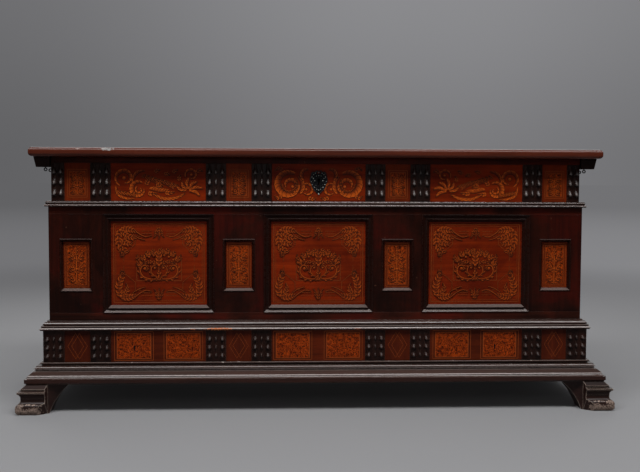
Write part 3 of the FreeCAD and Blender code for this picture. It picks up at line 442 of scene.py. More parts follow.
class Inlay:
    """Flat ribbons of veneer on one face that looks along -Y, about a centre there. Each shape
    lies a hair above the last, so that later shapes overlap earlier ones. Its points and widths
    are in millimetres. A lid shade, if set, is painted shade that darkens it upwards, and deep
    darkens it all over; glue is the width of the dark outline, cut how far that has slipped, vein
    the lines' half width."""

    def __init__(self, centre, face):
        self.centre, self.face = Vector(centre), face
        self.mesh = bmesh.new()
        self.scorch = self.mesh.verts.layers.float.new("scorch")
        self.hand, self.level = 1, first_level
        self.fade, self.deep, self.glue, self.vein = 0, 0, 1, 0.45
        self.cut = Vector((0.3, -0.7))

    def ribbon(self, path, wood, lefts, rights=None, scorch=(0.3, 0.3)):
        """A band along a path of (across, up) points, with its half widths to the left and
        right, which may be the same, and the shading of its two edges."""
        self.level += level_step
        rights = rights or lefts
        rows = []
        for number, point in enumerate(path):
            side = left_of(path, number)
            row = []
            for reach, shade in ((lefts[number], scorch[0]), (-rights[number], scorch[1])):
                spot = point + side * reach
                corner = self.mesh.verts.new((self.centre.x + spot.x * self.hand / 1000,
                                              self.face - self.level,
                                              self.centre.y + spot.y / 1000))
                # Painted shade: darker towards the top on the frieze tablets, under the lid.
                corner[self.scorch] = shade + self.deep + self.fade * spot.y
                row.append(corner)
            rows.append(row)
        for face in skin(self.mesh, rows):
            face.material_index = wood

    def shape(self, path, scorch, lefts, rights=None):
        """A pale ribbon over its wider dark outline, which shows most on the lower side."""
        self.ribbon([point + self.cut for point in path], 1, [wide + self.glue for wide in lefts],
                    [wide + self.glue for wide in rights or lefts])
        self.ribbon(path, 0, lefts, rights, scorch)

    def leaf(self, points, half_wide, lobes, sides=(1, 1)):
        """A leaf along a soft curve: a narrow blade, overlapping petals on each side that is
        on, each with its own outline, and a dark rib."""
        scorch = (0.05, 0.85)
        path = smooth(points, 5)
        last = len(path) - 1
        swell = [sin(pi * min(number / last * 0.86 + 0.13, 1)) ** 0.7
                 for number in range(last + 1)]
        blade = [half_wide * 0.5 * wide for wide in swell]
        self.shape(path, scorch, blade)
        for lobe in range(lobes):
            number = min(round((lobe + 0.25) / lobes * last), last - 1)
            foot, reach = path[number], half_wide * swell[min(number + 2, last)]
            along = (path[number + 1] - foot).normalized()
            for turn, on in ((1, sides[0]), (-1, sides[1])):
                if on:
                    side = Vector((-along.y, along.x)) * turn
                    petal = smooth([foot, foot + along * reach * 0.3 + side * reach * 0.6,
                                    foot + along * reach * 0.95 + side * reach * 0.95], 3)
                    widths = [reach * 0.4 * share for share in (0.5, 0.8, 1, 1, 0.9, 0.7, 0.3)]
                    self.shape(petal, scorch[::turn], widths)
        rib = path[1:-1]
        self.ribbon(rib, 1, [self.vein] * len(rib))

    def crescent(self, points, half_wide, flutes, outer):
        """A broad curled leaf with a scalloped outer edge and dark flutes across it. The outer
        side is 1 for the left of its path and -1 for the right."""
        scorch = (0, 0.9)
        path = smooth(points, 6)
        last = len(path) - 1
        wide, slim = [], []
        for number in range(last + 1):
            t = number / last
            swell = sin(pi * min(t * 0.9 + 0.08, 1)) ** 0.8
            scallop = 0.84 + 0.16 * abs(sin(pi * flutes * t))
            wide.append(half_wide * 1.35 * swell * scallop)
            slim.append(half_wide * 0.55 * swell)
        lefts, rights = (wide, slim) if outer > 0 else (slim, wide)
        self.shape(path, scorch[::outer], lefts, rights)
        for flute in range(1, flutes):
            number = round(last * flute / flutes)
            ahead = min(number + 2, last)
            along = (path[ahead] - path[number - 1]).normalized()
            side = Vector((-along.y, along.x)) * outer
            groove = [path[number] - side * slim[number] * 0.7,
                      path[number] + side * wide[number] * 0.35,
                      path[ahead] + side * wide[ahead] * 0.98]
            self.ribbon(groove, 1, [self.vein] * 3, [self.vein * 0.8] * 3)

    def stem(self, points, half_wide):
        """A plain stalk, thin at both ends."""
        path = smooth(points, 5)
        widths = [half_wide * (0.45 + 0.55 * sin(pi * number / (len(path) - 1)))
                  for number in range(len(path))]
        self.shape(path, (0.1, 0.8), widths)

    def bead(self, centre, radius):
        """A round berry."""
        across = [-1 + number / 4 for number in range(9)]
        path = [Vector(centre) + Vector((radius * share, 0)) for share in across]
        outer = radius + self.glue
        edge = [Vector(centre) + Vector((outer * share, 0)) for share in across]
        for line, size, wood in ((edge, outer, 1), (path, radius, 0)):
            widths = [size * sqrt(1 - share * share) for share in across]
            self.ribbon(line, wood, widths, scorch=(0, 0.7))

    def string(self, points, half_wide, closed=True):
        """A thin pale line between two dark ones, with sharp corners."""
        path = [Vector(point) for point in points]
        for first, last in zip(path, path[1:] + path[:1] if closed else path[1:]):
            run = (last - first).normalized() * half_wide
            ends = [first - run, last + run]
            self.ribbon(ends, 1, [half_wide * 1.9] * 2)
            self.ribbon(ends, 2, [half_wide] * 2)

    def frame(self, half_wide, half_high, line):
        """A rectangle of stringing about the centre."""
        self.string([(-half_wide, -half_high), (half_wide, -half_high), (half_wide, half_high),
                     (-half_wide, half_high)], line)

    def lay(self, name):
        """Ends the marquetry as one piece."""
        for face in self.mesh.faces:
            face.normal_update()
            if face.normal.y > 0:
                face.normal_flip()
        fix_on(name, self.mesh, "marquetry", pale_leaf, dark_line, string_wood, painted_keyhole_shade)


def swing(origin, degrees, reach):
    """The point at a distance from another in one direction."""
    return Vector((origin[0] + cos(radians(degrees)) * reach,
                   origin[1] + sin(radians(degrees)) * reach))


def spiral(centre, radius, start, sweep, inner=0.34, count=9):
    """Points that wind from the radius in towards the centre."""
    return [swing(centre, start + sweep * number / (count - 1),
                  radius * (1 - (1 - inner) * (number / (count - 1)) ** 0.9))
            for number in range(count)]


def scroll(work, centre, radius, start, sweep, lobes, wide):
    """A leaf that winds inwards round a berry, lobed on its outer side."""
    sides = (0, 1) if sweep > 0 else (1, 0)
    work.leaf(spiral(centre, radius, start, sweep), radius * wide, lobes, sides)
    work.bead(centre, radius * 0.15)


def corner_spray(work, corner, up):
    """Leaves that fill a corner: one down the side, one along the edge, some between in the
    upper corners, and a small scroll where the side leaf ends."""
    root = Vector(corner) - Vector((13, 12 * up))
    leaves = [(((1, 0), (5, 20), (3, 42), (-6, 62), (-2, 80)), 9.8, 8),
              (((-2, 1), (-18, -4), (-38, 0), (-58, 10)), 8.8, 7),
              (((-2, 4), (-14, 10), (-20, 24), (-16, 40)), 7.2, 5)]
    if up > 0:
        leaves += [(((-16, 12), (-28, 19), (-42, 21), (-52, 14)), 8, 5),
                   (((-8, 26), (-17, 36), (-28, 40), (-38, 34)), 7.8, 5),
                   (((-4, 40), (-10, 54), (-19, 64), (-26, 58)), 6.6, 4)]
    for points, wide, lobes in leaves:
        work.leaf([root + Vector((x, -y * up)) for x, y in points], wide, lobes)
    scroll(work, root + Vector((-4, -70 * up)), 10, 90 * up, 300 * up, 3, 0.2)
    work.bead(root, 4.5)


def middle_spray(work, lean):
    """One side of the large panels' middle: a C scroll along the foot that curls in at the
    side, a lesser one inside it, and an arch of leaves above."""
    work.leaf([(2, -46), (26, -48), (48, -40), (57, -22), (50, -6), (37, -6), (33, -17),
               (40, -22)], 6.2, 11, (0, 1))
    work.bead((42, -16), 4.2)
    work.leaf([(4, -41), (17, -36), (25, -24), (21, -9), (10, -6), (8, -15)], 4.6, 6, (0, 1))
    work.bead((13, -14), 3)
    work.leaf([(4, 0), (20, 4), (36, 4), (50, 2)], 4.8, 6)
    arch = [swing((0, -4), angle + lean * 0.5, reach)
            for angle, reach in ((6, 52), (26, 46), (46, 40), (68, 34))]
    for number, foot in enumerate(arch):
        angle = (20, 44, 66, 84)[number] + lean * 0.5
        tip = swing(foot, angle, 17)
        work.leaf([foot, swing(foot, angle + 18, 9), tip], 7.8, 4)
    work.leaf([(56, 12), (64, 18), (62, 28)], 4.2, 3)
    for angle, reach in ((16, 44), (36, 36), (58, 30)):
        work.bead(swing((0, -2), angle, reach), 3.2)


half_sight = (281.7 / 2, 249 / 2)
for part, lean in (("left", 14), ("middle", 0), ("right", -12)):
    low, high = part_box("large_panel_" + part)
    middle = (low + high) / 2
    work = Inlay((middle.x, middle.z), low.y)
    work.deep, work.glue = 0.2, 1.3
    for inset, line in ((7.5, 0.8), (13.5, 0.4)):
        work.frame(half_sight[0] - inset, half_sight[1] - inset, line)
    work.string([(-66, 16), (-66, -52), (66, -52), (66, 16)], 0.6, False)
    for hand in (1, -1):
        work.hand = hand
        for up in (1, -1):
            work.string([(22, 88 * up), (50, 88 * up), (56, 80 * up), (70, 80 * up), (70, 56 * up),
                         (96, 34 * up), (120, 34 * up)], 0.5, False)
            work.string([(20, 96 * up), (52, 96 * up)], 0.4, False)
            work.string([(104, 22 * up), (104, 6 * up)], 0.4, False)
            corner_spray(work, (126.5, 110 * up), up)
            work.stem([(74, 104 * up), (62, 92 * up), (40, 80 * up), (20, 84 * up)], 1.6)
            work.stem([(78, 88 * up), (60, 76 * up), (40, 70 * up)], 1.3)
            work.leaf([(1, 106 * up), (7, 96 * up), (9, 84 * up), (16, 76 * up)], 3.8, 4)
        middle_spray(work, lean * hand)
    work.hand = 1
    for up in (1, -1):
        work.leaf([(0, 107 * up), (0.2, 94 * up), (0, 72 * up)], 4.2, 3)
    work.leaf([(0, -50), (0.2, -34), (0, -20), (0, -8)], 5.8, 3)
    work.leaf([(0, -4), (0.2, 12), (0, 30), (0, 44)], 9, 5)
    work.bead((0, -6), 4)
    work.lay("marquetry_large_" + part)


# Marquetry of the upper frieze
# A running leaf scroll of pale fruitwood on each long tablet, mirrored about the lock in
# the middle one. Broad curled leaves have dark flutes cut across them.
def arc(centre, radius, start, sweep, inner, count):
    """Points along part of a ring that may narrow towards its end."""
    return [swing(centre, start + sweep * number / (count - 1),
                  radius * (1 - (1 - inner) * number / (count - 1))) for number in range(count)]


def frieze_inlay(x, face):
    """Marquetry of a long tablet, boldly drawn, with painted shade that darkens it towards the lid
    above.
    """
    work = Inlay((x, tablet_z), face)
    work.fade, work.glue, work.vein = 0.007, 1.5, 0.85
    return work


tablet_low, tablet_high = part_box("upper_tablet_middle")
tablet_z = (tablet_low.z + tablet_high.z) / 2
work = frieze_inlay(0, tablet_low.y)
for hand in (1, -1):
    work.hand = hand
    work.crescent(arc((87, -3), 33.5, 118, -285, 0.9, 10), 9.8, 15, 1)
    work.crescent(arc((84, -8), 16, 190, -215, 0.85, 8), 5.6, 7, 1)
    work.crescent([(68, 2), (62, -12), (68, -24), (80, -24)], 5, 6, -1)
    work.bead((78, -12), 4.2)
    work.crescent([(56, -32), (49, -16), (51, 3), (62, 18)], 6.2, 6, 1)
    work.crescent(arc((36, -20), 17, 60, 250, 0.75, 7), 4.4, 6, -1)
    work.bead((37, -20), 3.6)
    work.crescent([(44, 8), (50, 22), (44, 36), (30, 40)], 5.2, 6, -1)
    work.leaf([(30, -44), (18, -49), (6, -44)], 5.2, 3)
    for angle in range(150, 350, 22):
        foot = swing((87, -3), angle, 20.5)
        work.leaf([foot, swing(foot, angle + 30, 3.5), swing(foot, angle + 55, 8)], 2.6, 2)
    work.leaf([(108, 38), (120, 44), (130, 36)], 4.8, 3)
    work.leaf([(110, -40), (122, -46), (131, -38)], 4.8, 3)
work.hand = 1
work.lay("marquetry_upper_middle")
for part, hand in (("left", 1), ("right", -1)):
    low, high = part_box("upper_tablet_" + part)
    work = frieze_inlay((low.x + high.x) / 2, low.y)
    work.hand = hand
    work.crescent([(-124, -12), (-118, -34), (-96, -46), (-70, -48)], 4.2, 7, -1)
    work.crescent(arc((-100, 12), 25, 240, -330, 0.55, 10), 5.8, 10, 1)
    work.bead((-101, 12), 5)
    work.crescent([(-76, 0), (-70, 18), (-58, 30), (-40, 34)], 4.6, 6, 1)
    work.crescent(arc((-58, -20), 21, 60, 300, 0.72, 10), 6.8, 12, -1)
    work.crescent(arc((-57, -21), 10, 120, 290, 0.45, 7), 3.6, 5, -1)
    work.crescent([(-34, -2), (-20, 6), (-4, -2), (8, -16)], 7.4, 7, 1)
    work.crescent([(-26, -20), (-8, -22), (10, -26), (30, -22)], 7.2, 7, 1)
    work.crescent([(0, 4), (18, -2), (32, -10), (44, -20)], 6.6, 6, 1)
    work.crescent([(-14, -34), (16, -46), (50, -44), (78, -32)], 5.2, 9, -1)
    for points in (((-36, -8), (-30, 6), (-18, 14)), ((-6, -12), (4, -8), (16, -12)),
                   ((20, -30), (34, -32), (48, -28)), ((-30, -32), (-18, -34), (-4, -32))):
        work.leaf(points, 5.8, 4)
    for step in range(10):
        foot = (-46 + 10.2 * step, 14 - 3 * step)
        tip = swing(foot, 46 - 3 * step, 13.5)
        work.leaf([foot, swing(foot, 66 - 2 * step, 6.5), tip], 3.4, 3)
    for step in range(6):
        foot = (-118 + 9 * step, -34 - 1.6 * step)
        work.leaf([foot, swing(foot, 70, 6), swing(foot, 50, 12.5)], 3.6, 3)
    for angle, reach in ((160, 30), (124, 26), (84, 34), (44, 34), (10, 40), (-22, 34)):
        foot = swing((86, -24), angle, 5)
        bend, tip = swing(foot, angle + 9, reach * 0.55), swing(foot, angle - 4, reach)
        work.crescent([foot, bend, tip], 4.6, 5, 1)
    work.crescent(arc((96, 22), 17, 200, -300, 0.55, 8), 4, 7, 1)
    work.bead((97, 22), 3.8)
    work.leaf([(112, 30), (122, 38), (131, 32)], 4.8, 3)
    for x, y, turn in ((-10, 30, 20), (18, 24, -10), (44, 28, 35), (62, 6, 80)):
        work.leaf([(x, y), swing((x, y), turn + 20, 8), swing((x, y), turn, 17)], 4.8, 3)
    work.lay("marquetry_upper_" + part)


# Small sprays
# Upright leaf sprays of the same fruitwood over a field of burr veneer in the narrow
# tablets and the four small sunk panels, each inside stringing lines.
burr = new_finish("burr_veneer")
swirl = burr.noise(60, 5, 0.62, 2.4)
knots = burr.node("TexVoronoi", {}, {"Vector": burr.place(), "Scale": 170, "Randomness": 1})
knots = burr.between(knots, 0.42, 0.1)
specks = burr.noise(215, 3, 0.7, 0.8)
tint = burr.mix(burr.between(swirl, 0.3, 0.72), (0.1, 0.0108, 0.0014),
                (0.41, 0.054, 0.0036))
tint = burr.mix(burr.between(specks, 0.525, 0.585) * 0.95, tint, (0.02, 0.0036, 0.0012))
tint = burr.mix(knots * burr.between(swirl, 0.35, 0.6), tint, (0.026, 0.006, 0.002))
relief = burr.bump(0.25, 0.0005, specks)
burr_wood = burr.close(Base_Color=tint, Roughness=specks * 0.12 + 0.32, Normal=relief,
                       Specular_IOR_Level=0.1)


def eased_box(shape, low, high, rim):
    """A box between two corners, the edges of its front eased by a small chamfer."""
    rings = [[shape.verts.new((x, y, z)) for x, z in (
        (low[0] + inset, low[2] + inset), (high[0] - inset, low[2] + inset),
        (high[0] - inset, high[2] - inset), (low[0] + inset, high[2] - inset))]
        for inset, y in ((0, high[1]), (0, low[1] + rim), (rim, low[1]))]
    skin(shape, rings, closed=True)
    shape.faces.new(rings[-1])
    shape.faces.new(rings[0][::-1])


thin_veneer, thin_rim = 0.0002, 0.0001


def burr_plate(name, middle, half_wide, half_high, back, thick, rim):
    """A plate of burr veneer glued to a face, its half sizes in millimetres."""
    across, up = half_wide / 1000, half_high / 1000
    shape = bmesh.new()
    eased_box(shape, (middle[0] - across, back - thick, middle[1] - up),
              (middle[0] + across, back, middle[1] + up), rim)
    fix_on(name, shape, "marquetry", burr_wood)


def fielded(name, middle, face, half_wide, half_high, insets):
    """One upright spray inside its stringing lines, symmetrical about its stem."""
    across, up = half_wide - insets[-1], half_high - insets[-1]
    burr_plate(name + "_burr", middle, across, up, face, thin_veneer, thin_rim)
    work = Inlay(middle, face - thin_veneer)
    for inset in insets:
        work.frame(half_wide - inset, half_high - inset, 0.6)
    wide, high = across - 2.5, up - 2
    work.stem([(0, -high), (0, -high * 0.3), (0, high * 0.3), (0, high)], wide * 0.08)
    tiers = 3 if high > wide * 1.6 else 2
    for hand in (1, -1):
        work.hand = hand
        for tier in range(tiers):
            level = high * (-0.92 + 1.72 * tier / tiers)
            rise = high * 1.5 / tiers
            work.leaf([(0.5, level), (wide * 0.4, level + rise * 0.28),
                       (wide * 0.55, level + rise * 0.75), (wide * 0.9, level + rise * 0.95)],
                      wide * 0.2, 5)
            scroll(work, (wide * 0.64, level + rise * 0.22), wide * 0.27, 200, 280, 3, 0.24)
    work.hand = 1
    work.bead((0, -high * 0.2), wide * 0.15)
    work.leaf([(0, high * 0.52), (0.3, high * 0.8), (0, high)], wide * 0.15, 3)
    work.lay(name)


upper_small_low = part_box("upper_small_tablets")[0]
bay_starts = {"inner": 0.1995, "outer": 0.6735}
small_tablet_wide, spray_lower = 0.075, 0.004
narrow_middles = {f"{part}_{place}": hand * (start + small_tablet_wide / 2)
                  for part, hand in (("left", -1), ("right", 1))
                  for place, start in bay_starts.items()}
half_narrow_sight = (33.5, 46)
for part, x in narrow_middles.items():
    fielded("marquetry_narrow_" + part, (x, tablet_z - spray_lower), upper_small_low.y,
            *half_narrow_sight, (5, 10.5))
panels_low, panels_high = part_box("small_panels")
half_small_sight = (38, 69)
small_middles = {"stile_left": -0.71575, "muntin_left": -0.23684, "muntin_right": 0.23684,
                 "stile_right": 0.71575}
for part, x in small_middles.items():
    fielded("marquetry_small_" + part, (x, (panels_low.z + panels_high.z) / 2), panels_low.y,
            *half_small_sight, (4, 10))


# Lower frieze fields
# Two squares of burr veneer on each long tablet between dark and pale lines, and double lozenges
# of thin stringing on the narrow tablets. Two fields have a small near-black slot: painted shade
# where a keyhole stands, which is not cut.
lower_low, lower_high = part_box("lower_long_tablets")
lower_face, lower_z = lower_low.y, (lower_low.z + lower_high.z) / 2
field_half = (48.5, 36.5)
field_middles = {"left_outer": -0.546, "left_inner": -0.401, "middle_left": -0.0765,
                 "middle_right": 0.074, "right_inner": 0.401, "right_outer": 0.546}
field_veneer, field_rim, edging_proud = 0.0006, 0.0004, 0.0001
for part, x in field_middles.items():
    burr_plate("burr_field_" + part, (x, lower_z), *field_half, lower_face, field_veneer,
               field_rim)
    work = Inlay((x, lower_z), lower_face - edging_proud)
    work.frame(field_half[0] + 1, field_half[1] + 1, 1.1)
    work.frame(field_half[0] + 8.5, field_half[1] + 6, 0.6)
    work.lay("burr_edging_" + part)
mark_widths = [0.8, 2.5, 2.9, 2, 1.8, 2, 2.3, 1]
mark_path = [Vector((0, 1.5 - 2.2 * step)) for step in range(len(mark_widths))]
for part, x in (("left", -0.545), ("right", 0.531)):
    work = Inlay((x, lower_z), lower_face - field_veneer)
    work.ribbon(mark_path, 3, mark_widths)
    work.lay("keyhole_shade_mark_" + part)
lower_small_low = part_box("lower_small_tablets")[0]
for part, x in narrow_middles.items():
    work = Inlay((x, lower_z), lower_small_low.y)
    for shift in (-5.5, 5.5):
        work.string([(shift - 23, 0), (shift, -38), (shift + 23, 0), (shift, 38)], 0.34)
    work.lay("lozenges_" + part)


# Carved blocks
# Solid walnut blocks between the tablets, carved with three tiers of hanging drops: narrow leaves
# that swell to a tip with a painted highlight down its middle, undercut so that a deep shadow lies
# below each tip.
carved = dict(dark=(0.007, 0.0026, 0.002), light=(0.025, 0.0078, 0.005), sheen=0.3, wear=0.5,
              worn=(0.17, 0.1, 0.075), grime_and_shade=0.95)
# Colour and strength of the painted highlight on the carved tips, stronger on the upper blocks.
tip_highlight_colour = (0.3, 0.27, 0.255)
carved_wax = {tier: timber("carved_walnut_" + tier, "z", gloss=gloss, tip_highlight=(rubbed, tip_highlight_colour),
                           **carved)
              for tier, gloss, rubbed in (("upper", 0.27, 0.6), ("lower", 0.13, 0.16))}
block_wide, block_chamfer, column_pitch = 0.06, 0.0012, 0.0182
drops_proud, drop_sunk, drop_splay = 0.01, 0.0004, 0.0012
# What part of its row a drop fills, its half width and how far it stands out.
side_drop, middle_drop = (0.96, 0.0081, 0.0098), (0.9, 0.0044, 0.0068)


def drop(shape, x, top, long, half_wide, proud, face, lean):
    """One carved drop on a face: half a teardrop with its swollen tip at the bottom."""
    rows, columns = 17, 10
    tip = shape.verts.layers.float["tip"]
    grid = []
    for row in range(rows):
        t = row / (rows - 1)
        rise = min(max((t - 0.34) / 0.48, 0), 1)
        swell = rise * rise * (3 - 2 * rise)
        shut = sqrt(max(0, 1 - max(0, (t - 0.84) / 0.16) ** 2))
        wide = half_wide * (0.5 + 0.5 * swell) * shut
        out = proud * (0.24 + 0.76 * swell) * max(shut, 0.02)
        line = []
        for column in range(columns + 1):
            angle = pi * column / columns
            ridge = abs(cos(angle)) ** 3 * 0.12
            spot = shape.verts.new((x + lean * t ** 1.5 - cos(angle) * wide,
                                    face - sin(angle) ** 0.8 * out * (1 - ridge) + drop_sunk,
                                    top - long * t))
            # The tip layer marks where the painted highlight goes: a narrow strip down the middle
            # of each swollen tip.
            spot[tip] = swell * shut * max(0, sin(angle)) ** 22 * (0.2 if t > 0.88 else 1)
            line.append(spot)
        grid.append(line)
    skin(shape, grid)


def carved_block(name, tier, low, high, head, foot, columns):
    """A block between two corners with three rows of drops, the middle column slimmer."""
    shape = bmesh.new()
    shape.verts.layers.float.new("tip")
    eased_box(shape, low, high, block_chamfer)
    flat_faces = len(shape.faces)
    pitch = (high[2] - low[2] - head - foot) / 3
    middle = (low[0] + high[0]) / 2
    for row in range(3):
        top = high[2] - head - pitch * row
        for column in range(columns):
            offset = column - (columns - 1) / 2
            share, half_wide, proud = side_drop if offset else middle_drop
            drop(shape, middle + column_pitch * offset, top, pitch * share, half_wide, proud,
                 low[1], drop_splay * offset)
    for face in list(shape.faces)[flat_faces:]:
        face.smooth = True
    bmesh.ops.recalc_face_normals(shape, faces=shape.faces)
    made = fix_on(name, shape, "dark_walnut", carved_wax[tier])
    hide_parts(tier + "_carved_blocks")


for tier, head, foot in (("upper", 0.002, 0.014), ("lower", 0.009, 0.01)):
    low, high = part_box(tier + "_carved_blocks")
    pairs = []
    for start in bay_starts.values():
        end = start + small_tablet_wide
        pairs += [(start - block_wide, start), (end, end + block_wide)]
    pairs[-1] = (end, high.x)
    for number, (first, last) in enumerate(pairs):
        columns = 2 if tier == "upper" and number == 3 else 3
        for hand, part in ((1, "right"), (-1, "left")):
            near, far = sorted((first * hand, last * hand))
            carved_block(f"{tier}_block_{part}_{number}", tier,
                         (near, low.y + drops_proud, low.z), (far, high.y, high.z),
                         head, foot, columns)


# Mouldings
# Planed walnut runs across the front that return along both sides, mitred at the corners: waist,
# plinth cap and heavy base. Edges are rubbed pale; the base has lost small chips. Pale lines along
# the noses and fillets are painted highlights.
chip_bare, bare_orange = (0.42, 0.36, 0.32), (0.36, 0.095, 0.022)
painted_bright_highlight = (0.43, 0.38, 0.365)
painted_highlight, painted_faint_highlight = (0.33, 0.28, 0.265), (0.17, 0.13, 0.115)
moulded = dict(dark=(0.011, 0.0035, 0.0024), light=(0.038, 0.0098, 0.0052), sheen=0.22,
               gloss=0.28, coat=0.8, wear=0.5, worn=(0.24, 0.172, 0.148), grime_and_shade=1,
               dust_and_highlight=0.22, relief=0.0003)


def lines(low, *rows):
    """Painted highlight lines along a whole moulding, each inward and up from its low front edge.
    """
    return [(Vector((0, low.y + inward, low.z + up)), radius, line_stretch, tone)
            for inward, up, radius, tone in rows]


waist_low, waist_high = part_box("waist_moulding_front")
waist_highlights = lines(waist_low, (0.0014, 0.0052, 0.0017, painted_highlight),
                   (0.006, waist_high.z - waist_low.z - 0.0008, 0.0014, painted_highlight))
cap_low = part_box("cap_moulding_front")[0]
cap_highlights_and_wear = lines(cap_low, (0.0065, 0.0132, 0.0018, painted_faint_highlight),
                 (0.0028, 0.0076, 0.0028, painted_highlight))
cap_highlights_and_wear += [(Vector((x, cap_low.y + 0.002, cap_low.z + up)), radius, stretch, bare_orange)
             for x, up, radius, stretch in ((-0.296, 0.004, 0.0045, 9), (-0.37, 0.003, 0.0022, 5),
                                            (0.118, 0.003, 0.0022, 6))]
base_low, base_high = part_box("base_moulding_front")
base_highlights_and_wear = lines(base_low, (0.0385, base_high.z - base_low.z, 0.002, painted_faint_highlight),
                  (0.0255, 0.0395, 0.0024, painted_highlight), (0.0255, 0.0345, 0.0038, painted_faint_highlight),
                  (0.0076, 0.024, 0.0021, painted_bright_highlight))
base_highlights_and_wear += [(Vector((x, base_low.y + 0.0405, base_high.z)), radius, 1.6, chip_bare)
              for x, radius in ((-0.318, 0.002), (-0.283, 0.0035), (-0.262, 0.0018),
                                (-0.236, 0.003), (-0.176, 0.002), (0.212, 0.0018),
                                (0.404, 0.002), (-0.552, 0.0025), (0.642, 0.002))]
# Each front moulding takes its painted highlight lines, and the cap and base also their worn spots
# and chips.
for part, wear in (("waist", waist_highlights), ("cap", cap_highlights_and_wear), ("base", base_highlights_and_wear)):
    dress(timber("moulding_" + part, "x", **moulded, patches=wear), part + "_moulding_front")
dress(timber("moulding_side", "y", **moulded), *(
    f"{part}_moulding_{side}" for part in ("waist", "cap", "base") for side in ("left", "right")))


# Feet
# Four bracket feet sawn and carved from thick walnut. Their toes are scuffed to bare grey
# wood by two or three centuries of floors and mops.
feet = ("foot_front_left", "foot_front_right", "foot_back_left", "foot_back_right")
toe_bare = (0.185, 0.132, 0.106)
toe_patches = []
for name in feet[:2]:
    low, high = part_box(name)
    outer, inward = (low.x, 1) if high.x < 0 else (high.x, -1)
    for along, back, up, radius, stretch, tone in (
            (0.002, 0.002, 0.01, 0.016, 1.5, toe_bare),
            (0.054, 0.002, 0.009, 0.015, 1.5, toe_bare),
            (0.028, 0.002, 0.006, 0.013, 1.5, toe_bare),
            (0.014, 0.002, 0.027, 0.007, 1.5, toe_bare),
            (0.045, 0.006, 0.0275, 0.0035, 9, toned(toe_bare, 1.8)),
            (0.04, 0.0055, 0.0755, 0.003, 9, toe_bare)):
        toe_patches.append((Vector((outer + inward * along, low.y + back, up)), radius,
                            stretch, tone))
dress(timber("foot_walnut", "x", dark=(0.0085, 0.0034, 0.0028), light=(0.03, 0.011, 0.008),
             sheen=0.36, gloss=0.2, coat=0.12, wear=1, worn=(0.42, 0.33, 0.27), grime_and_shade=2,
             arris=0.003, bare=1, patches=toe_patches), *feet)


# Lid
# Two wide boards with a thumbnail edge, redder than the rest, and a deep cleat nailed
# under each end. The front edge has a grey chip left of the middle.
lid_low, lid_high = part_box("lid_front_board")
lid_chips = [(Vector((-0.614, lid_low.y + 0.003, lid_high.z - 0.005)), 0.0052, 3.6,
              (0.215, 0.205, 0.2)),
             (Vector((-0.7, lid_low.y + 0.002, lid_high.z - 0.004)), 0.0016, 4,
              (0.24, 0.19, 0.17))]
lid_wax = dict(dark=(0.023, 0.0046, 0.0028), light=(0.088, 0.018, 0.0086), sheen=0.3,
               gloss=0.16, coat=0.35, wear=0.5, worn=(0.2, 0.095, 0.062), grime_and_shade=0.4, figure=1.5)
dress(timber("lid_walnut", "x", **lid_wax, patches=lid_chips), "lid_front_board",
      "lid_back_board")
# The cleats are much darker than the lid boards: painted shade under the lid's ends.
dress(timber("cleat_walnut_painted_shade", "y", dark=(0.006, 0.0022, 0.0016), light=(0.02, 0.0065, 0.0042),
             sheen=0.5, gloss=0.16, wear=0.2, worn=(0.08, 0.04, 0.03)),
      "lid_cleat_left", "lid_cleat_right")


# Iron
# Hand-forged iron: strap hinges, the lock and its staple, the pierced plate round the
# keyhole and four small eyes. Blackened, with a little brown rust in the hammer marks.
def forged(name, rust, base):
    """Hammered iron of one colour, with rust in its hollows."""
    finish = new_finish(name)
    dents = finish.noise(190, 3, 0.55)
    pits = finish.noise(900, 3, 0.7)
    bloom = finish.between(finish.noise(75, 5, 0.65), 0.52, 0.72) * rust
    colour = finish.mix(dents, base, toned(base, 2.2))
    colour = finish.mix(bloom, colour, (0.075, 0.03, 0.014))
    rounded = finish.node("Bevel", {"samples": 4}, {"Radius": 0.0006})
    height = dents * 0.7 + pits * 0.3
    bump = finish.bump(0.5, 0.0007, height, Normal=rounded)
    return finish.close(Base_Color=colour, Metallic=(1 - bloom) * 0.85,
                        Roughness=pits * 0.2 + bloom * 0.3 + 0.36, Normal=bump)


iron = forged("forged_iron", 0.35, (0.022, 0.022, 0.024))
plate_low, plate_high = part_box("escutcheon")
keyhole_down, backing_sunk, flattened = 0.0198, 0.0006, 0.9
keyhole_z, plate_face = plate_high.z - keyhole_down, plate_low.y
shape = bmesh.new()


def raised(points, radii, metal=0):
    """A ridge along the plate's face, of a slightly flattened half-round section. Its points
    and radii are in millimetres from the keyhole."""
    rows = []
    for number, (point, radius) in enumerate(zip(points, radii)):
        side, row = left_of(points, number), []
        for angle in (pi * step / 6 for step in range(7)):
            spot = (point + side * cos(angle) * radius) / 1000
            rise = sin(angle) * radius * flattened / 1000
            row.append(shape.verts.new((spot.x, plate_face - rise, keyhole_z + spot.y)))
        rows.append(row)
    for face in skin(shape, rows):
        face.material_index, face.smooth = metal, True


def stud(x, z, radius):
    """A small round head, worn bright."""
    across = [number / 4 - 1 for number in range(9)]
    raised([Vector((x + radius * share, z)) for share in across],
           [max(radius * sqrt(1 - share * share), 0.02) for share in across], 1)


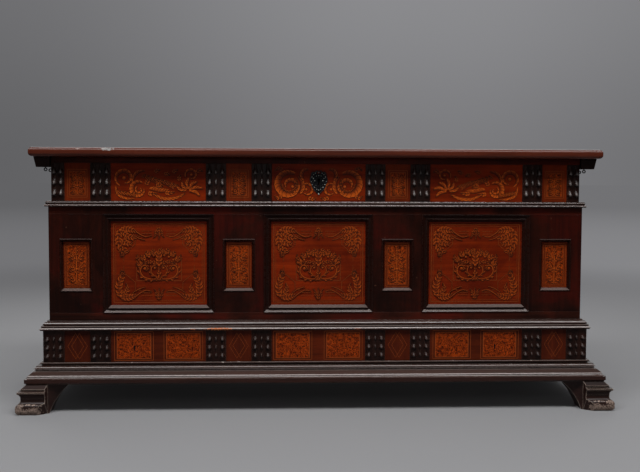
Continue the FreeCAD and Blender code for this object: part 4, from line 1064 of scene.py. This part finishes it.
backing_half = [(4.5, 23.5), (10, 24), (16, 21.5), (21, 16.5), (24, 8), (25, -1), (24, -9),
                (20, -19), (15, -27), (8, -35), (4.5, -40)]
curls = [(16.5, 9.8, 6.8, 250, 320), (18.5, -5.9, 5.2, 80, 290), (9.5, -20, 5.4, 60, 300)]
ridges = [(((20.5, -13), (24.5, -5), (24.5, 5), (20, 9.5)), 1.9),
          (((20, 9.5), (21.5, 17.5), (16, 23.5), (10, 20.5)), 2),
          (((10.5, 22.5), (7, 26.5), (3, 25.5), (0, 22.5)), 1.8),
          (((20, -17), (16, -26), (9, -33), (4, -40)), 1.6)]
studs = [(20, 9.5, 2.2), (22.5, -4.5, 1.8), (10, 20.5, 2), (13, -21.5, 2), (15.5, 16.5, 1.8),
         (11.8, -2, 1.8), (16, 4.5, 1.6), (7.2, 12, 1.5), (18.5, -13.5, 1.8), (5.8, -28, 1.8)]
for hand in (-1, 1):
    corners = [shape.verts.new((hand * x / 1000, plate_face + backing_sunk, keyhole_z + z / 1000))
               for x, z in backing_half]
    shape.faces.new(corners if hand > 0 else corners[::-1]).material_index = 2
    for x, z, radius, start, sweep in curls:
        curl = [Vector((hand * spot.x, spot.y)) for spot in
                spiral((x, z), radius, start, sweep, 0.45, 13)]
        raised(curl, [0.4 + 0.8 * (1 - number / 12) for number in range(13)])
    for points, thick in ridges:
        edge = smooth([(hand * x, z) for x, z in points], 4)
        raised(edge, [thick * (0.35 + 0.65 * sin(pi * number / (len(edge) - 1)))
                      for number in range(len(edge))])
    for x, z, radius in studs:
        stud(hand * x, z, radius)
for z, radius in ((22.5, 2.2), (13.5, 1.8), (-30, 1.9), (-41.5, 2.6)):
    stud(0, z, radius)
bmesh.ops.recalc_face_normals(shape, faces=[face for face in shape.faces if face.smooth])
black_iron = forged("blackened_plate", 0.12, (0.007, 0.007, 0.008))
fix_on("escutcheon_relief", shape, "iron", iron,
       forged("worn_iron_stud", 0.05, (0.2, 0.21, 0.19)), black_iron)
dress(black_iron, "escutcheon")
dress(iron, "lock_case", "lock_bolt", "lid_staple", "hinge_straps",
      "hinge_leaves", "hinge_pins", "case_eyes", "lid_eyes")
